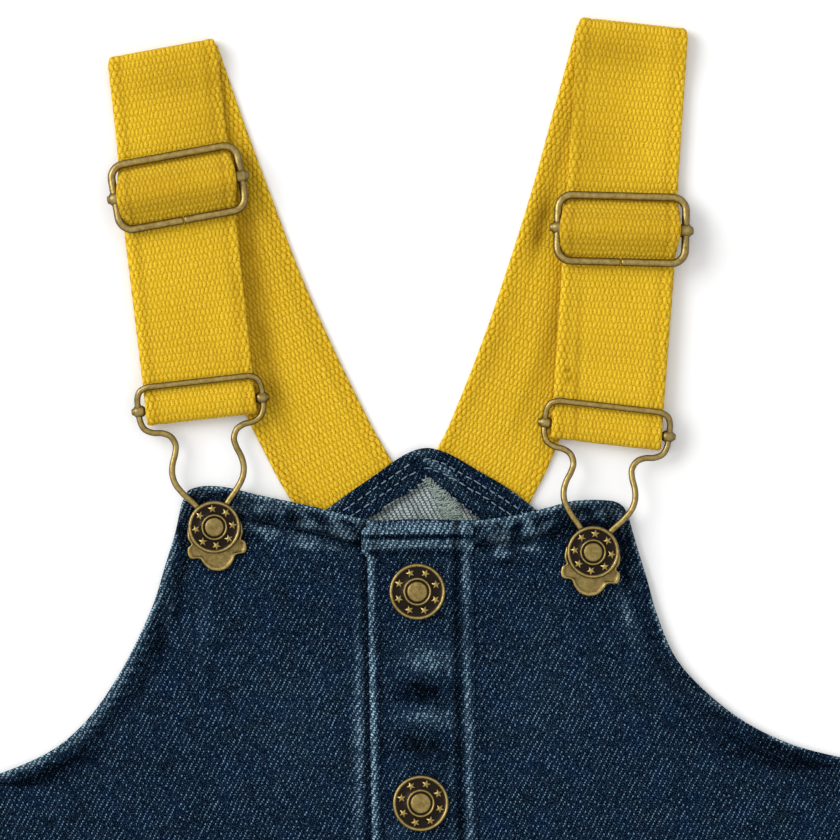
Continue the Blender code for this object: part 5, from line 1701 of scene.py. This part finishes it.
def inside_leg_line(sign, inwards, low, high):
    """A line at a distance inside a leg's inner edge."""
    rows = np.array(LEG_AND_BODY)
    y = np.linspace(low, high, 120)
    x = np.interp(y, rows[:, 3], rows[:, 2])
    return np.stack([sign * (x + inwards), y], 1)


def top_line(edge, sign, inwards, reach):
    """A line at a distance below a half's top edge; reach is from where to where, from the middle."""
    x = np.linspace(*sorted(sign * x for x in reach), 60)
    slope = edge_slope(edge, x)
    lean = np.sqrt(1 + slope**2)
    return np.stack([x + inwards * slope / lean, edge_height(edge, x) - inwards / lean], 1)


def leg_lines(sign):
    """Tonal stitches that the front and the back both have: side seam, inside leg and leg hem."""
    inwards = SIDE_SEAM.depth - STITCH_INSET
    side = side_line(LEG_AND_BODY, sign, inwards, *SIDE_STITCH_Y)
    inside_leg = inside_leg_line(sign, inwards, *LEG_STITCH_Y)
    hem_y = -BODY_LENGTH + LEG_HEM - STITCH_INSET
    hem = np.stack([np.linspace(*LEG_HEM_STITCH_X, 60) * sign, np.full(60, hem_y)], 1)
    return [side, inside_leg, hem]


def overlock(surface, material):
    """Dense threads across the raw edge of the middle seam, looping from side to side."""
    random = np.random.RandomState(OVERLOCK_SEED)
    route = np.array(OVERLOCK)
    count = int(chord_lengths(route[:, :2])[-1] / OVERLOCK_PITCH)
    stations = spaced_along(route, count)
    run = unit(np.gradient(stations[:, :2], axis=0))
    aside = np.stack([-run[:, 1], run[:, 0]], 1)
    t = np.linspace(0, 1, 9)
    arch = np.sin(math.pi * t)
    parts = []
    for k in range(count):
        reach = stations[k, 2] * random.uniform(0.7, 1.1, 2)
        lean = random.uniform(-OVERLOCK_LEAN, OVERLOCK_LEAN, 2)
        start, end = (
            stations[k, :2] + way * aside[k] * r + run[k] * d
            for way, r, d in zip((-1, 1), reach, lean, strict=True)
        )
        bow = random.uniform(-OVERLOCK_BOW, OVERLOCK_BOW)
        line = start + (end - start) * t[:, None] + run[k] * bow * arch[:, None]
        heights = [surface.height(x, y) for x, y in line]
        if None in heights:
            continue
        lift = 0.06 + 0.34 * arch**0.5 + random.uniform(0, 0.12)
        parts.append(tube(np.column_stack([line, np.array(heights) + lift]), OVERLOCK_RADIUS, 6, 0.3))
    points, faces = join(parts)
    return add_piece("back_right_overlock", points, faces, [material], (), {"cloth": points})


# ------------------------------------------------------------------ camera, light and floor
CAMERA_AT = (0.00058, 0.2512)
CAMERA_HEIGHT = 2.4
CAMERA_LENS = 354.7
SKY = (0.42, 1.0)  # brightness of the soft light from the horizon and from overhead
SUN_STRENGTH = 2.1
SUN_ANGLE = 42.0
SUN_FROM = (-1.0, 0.4, 0.78)
FLOOR_REACH = 3.0
FLOOR_LEVEL = -0.00005


def set_camera():
    """Straight above the bib."""
    camera = bpy.data.cameras.new("camera")
    camera.lens = CAMERA_LENS
    camera.sensor_width = 36.0
    camera.clip_end = 20.0
    viewer = add_object("camera", camera)
    viewer.location = (*CAMERA_AT, CAMERA_HEIGHT)
    bpy.context.scene.camera = viewer


def set_light():
    """One wide, soft sun from the upper left, and a sky that is brighter overhead."""
    sun = bpy.data.lights.new("key", "SUN")
    sun.energy = SUN_STRENGTH
    sun.angle = math.radians(SUN_ANGLE)
    key = add_object("key", sun)
    key.rotation_euler = Vector(SUN_FROM).to_track_quat("Z", "Y").to_euler()

    world = bpy.data.worlds.new("studio")
    world.use_nodes = True
    nodes, links = world.node_tree.nodes, world.node_tree.links
    upwards = nodes.new("ShaderNodeSeparateXYZ")
    links.new(nodes.new("ShaderNodeTexCoord").outputs["Generated"], upwards.inputs[0])
    glow = nodes.new("ShaderNodeMapRange")
    links.new(upwards.outputs["Z"], glow.inputs["Value"])
    glow.inputs["To Min"].default_value, glow.inputs["To Max"].default_value = SKY
    links.new(glow.outputs[0], nodes["Background"].inputs["Strength"])
    nodes["Background"].inputs["Color"].default_value = (1, 1, 1, 1)
    bpy.context.scene.world = world
    bpy.context.scene.view_settings.view_transform = "Standard"


def set_floor():
    """White paper, just below the garment."""
    floor = bpy.data.meshes.new("floor")
    ways = ((-1, -1), (1, -1), (1, 1), (-1, 1))
    corners = [(x * FLOOR_REACH, y * FLOOR_REACH, FLOOR_LEVEL) for x, y in ways]
    floor.from_pydata(corners, [], [(0, 1, 2, 3)])
    n = Nodes("floor_paper")
    grain = n.noise(n.add("ShaderNodeTexCoord").outputs["Object"], 40.0, 3.0)
    n.surface(n.mix(n.between(grain, 0.3, 0.7), (246, 246, 246), (250, 250, 250)), 0.9)
    floor.materials.append(n.material)
    ground = add_object("floor", floor)


# ------------------------------------------------------------------ the whole scene
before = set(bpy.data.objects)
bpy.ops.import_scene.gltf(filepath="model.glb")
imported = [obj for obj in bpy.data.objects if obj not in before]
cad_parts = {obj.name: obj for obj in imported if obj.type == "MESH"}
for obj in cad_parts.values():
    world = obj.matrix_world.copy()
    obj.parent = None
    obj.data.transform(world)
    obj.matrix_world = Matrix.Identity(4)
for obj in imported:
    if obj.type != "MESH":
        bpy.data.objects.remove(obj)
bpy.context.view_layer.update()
set_camera()
set_light()
set_floor()
face = denim("denim_face", DENIM_FACE)
reverse = denim("denim_reverse", DENIM_REVERSE)
webbing = webbing_material()
brass = brass_material()
pale_thread = thread_material("thread_pale", (74, 96, 114), (148, 166, 180))
overlock_thread = thread_material("thread_overlock", (70, 86, 82), (172, 186, 178))
navy_thread = thread_material("thread_navy", (2, 14, 30), (26, 48, 70))

backs = {side: add_back(side, sign, face, reverse) for side, sign in SIDES.items()}
fronts = {side: add_front(side, sign, face, reverse) for side, sign in SIDES.items()}
placket = add_placket(face)

for brace in BRACES:
    add_brace(brace, webbing)
    add_slider(brace, brass)
    at_slider = (brace.slider, brace.slider_turn, BAR_HEIGHT, SLIDER_HALF[0], SLIDER_WIRE)
    add_bar("slider", brace.side, *at_slider, brass)
    add_clip(brace, brass)
    bar = clip_point(brace, 0, CLIP_LENGTH - CLIP_BAR)
    add_bar("clip", brace.side, bar, brace.clip_turn, CLIP_BAR_HEIGHT, CLIP_HALF, CLIP_WIRE, brass)
    add_plate(brace, brass)
add_buttons(brass)

stitches = {}
for side, sign in SIDES.items():
    armhole_inwards, bib_inwards = ARMHOLE_HEM - STITCH_INSET, BIB_HEM - STITCH_INSET
    peak = [top_line(BACK_TOP, sign, inwards, PEAK_STITCH_X) for inwards in PEAK_STITCH_ROWS]
    bib = top_line(FRONT_TOP, sign, bib_inwards, BIB_STITCH_X)
    armhole_rows = [*LEG_AND_BODY[-2:], *FRONT_ARMHOLES[side]]
    armhole = side_line(armhole_rows, sign, armhole_inwards, *ARMHOLE_STITCH_Y)
    on_back = {
        f"back_{side}_peak_stitches": (peak, pale_thread, PEAK_GAUGE, False),
        f"back_{side}_outer_peak_stitches": (peak, pale_thread, PEAK_GAUGE, True),
        f"back_{side}_outer_stitches": (leg_lines(sign), navy_thread, OUTER_GAUGE, True),
    }
    cloth = Surface(backs[side])
    stitches[f"back_{side}"] = [
        add_stitches(name, lines, cloth, thread, gauge, BACK_STITCH_SEED, below)
        for name, (lines, thread, gauge, below) in on_back.items()
    ]
    lines = [*leg_lines(sign), bib, armhole]
    cloth = Surface(fronts[side])
    stitches[f"front_{side}"] = [
        add_stitches(f"front_{side}_stitches", lines, cloth, navy_thread, FRONT_GAUGE, FRONT_STITCH_SEED)
    ]
stitches["back_right"].append(overlock(Surface(backs["right"]), overlock_thread))
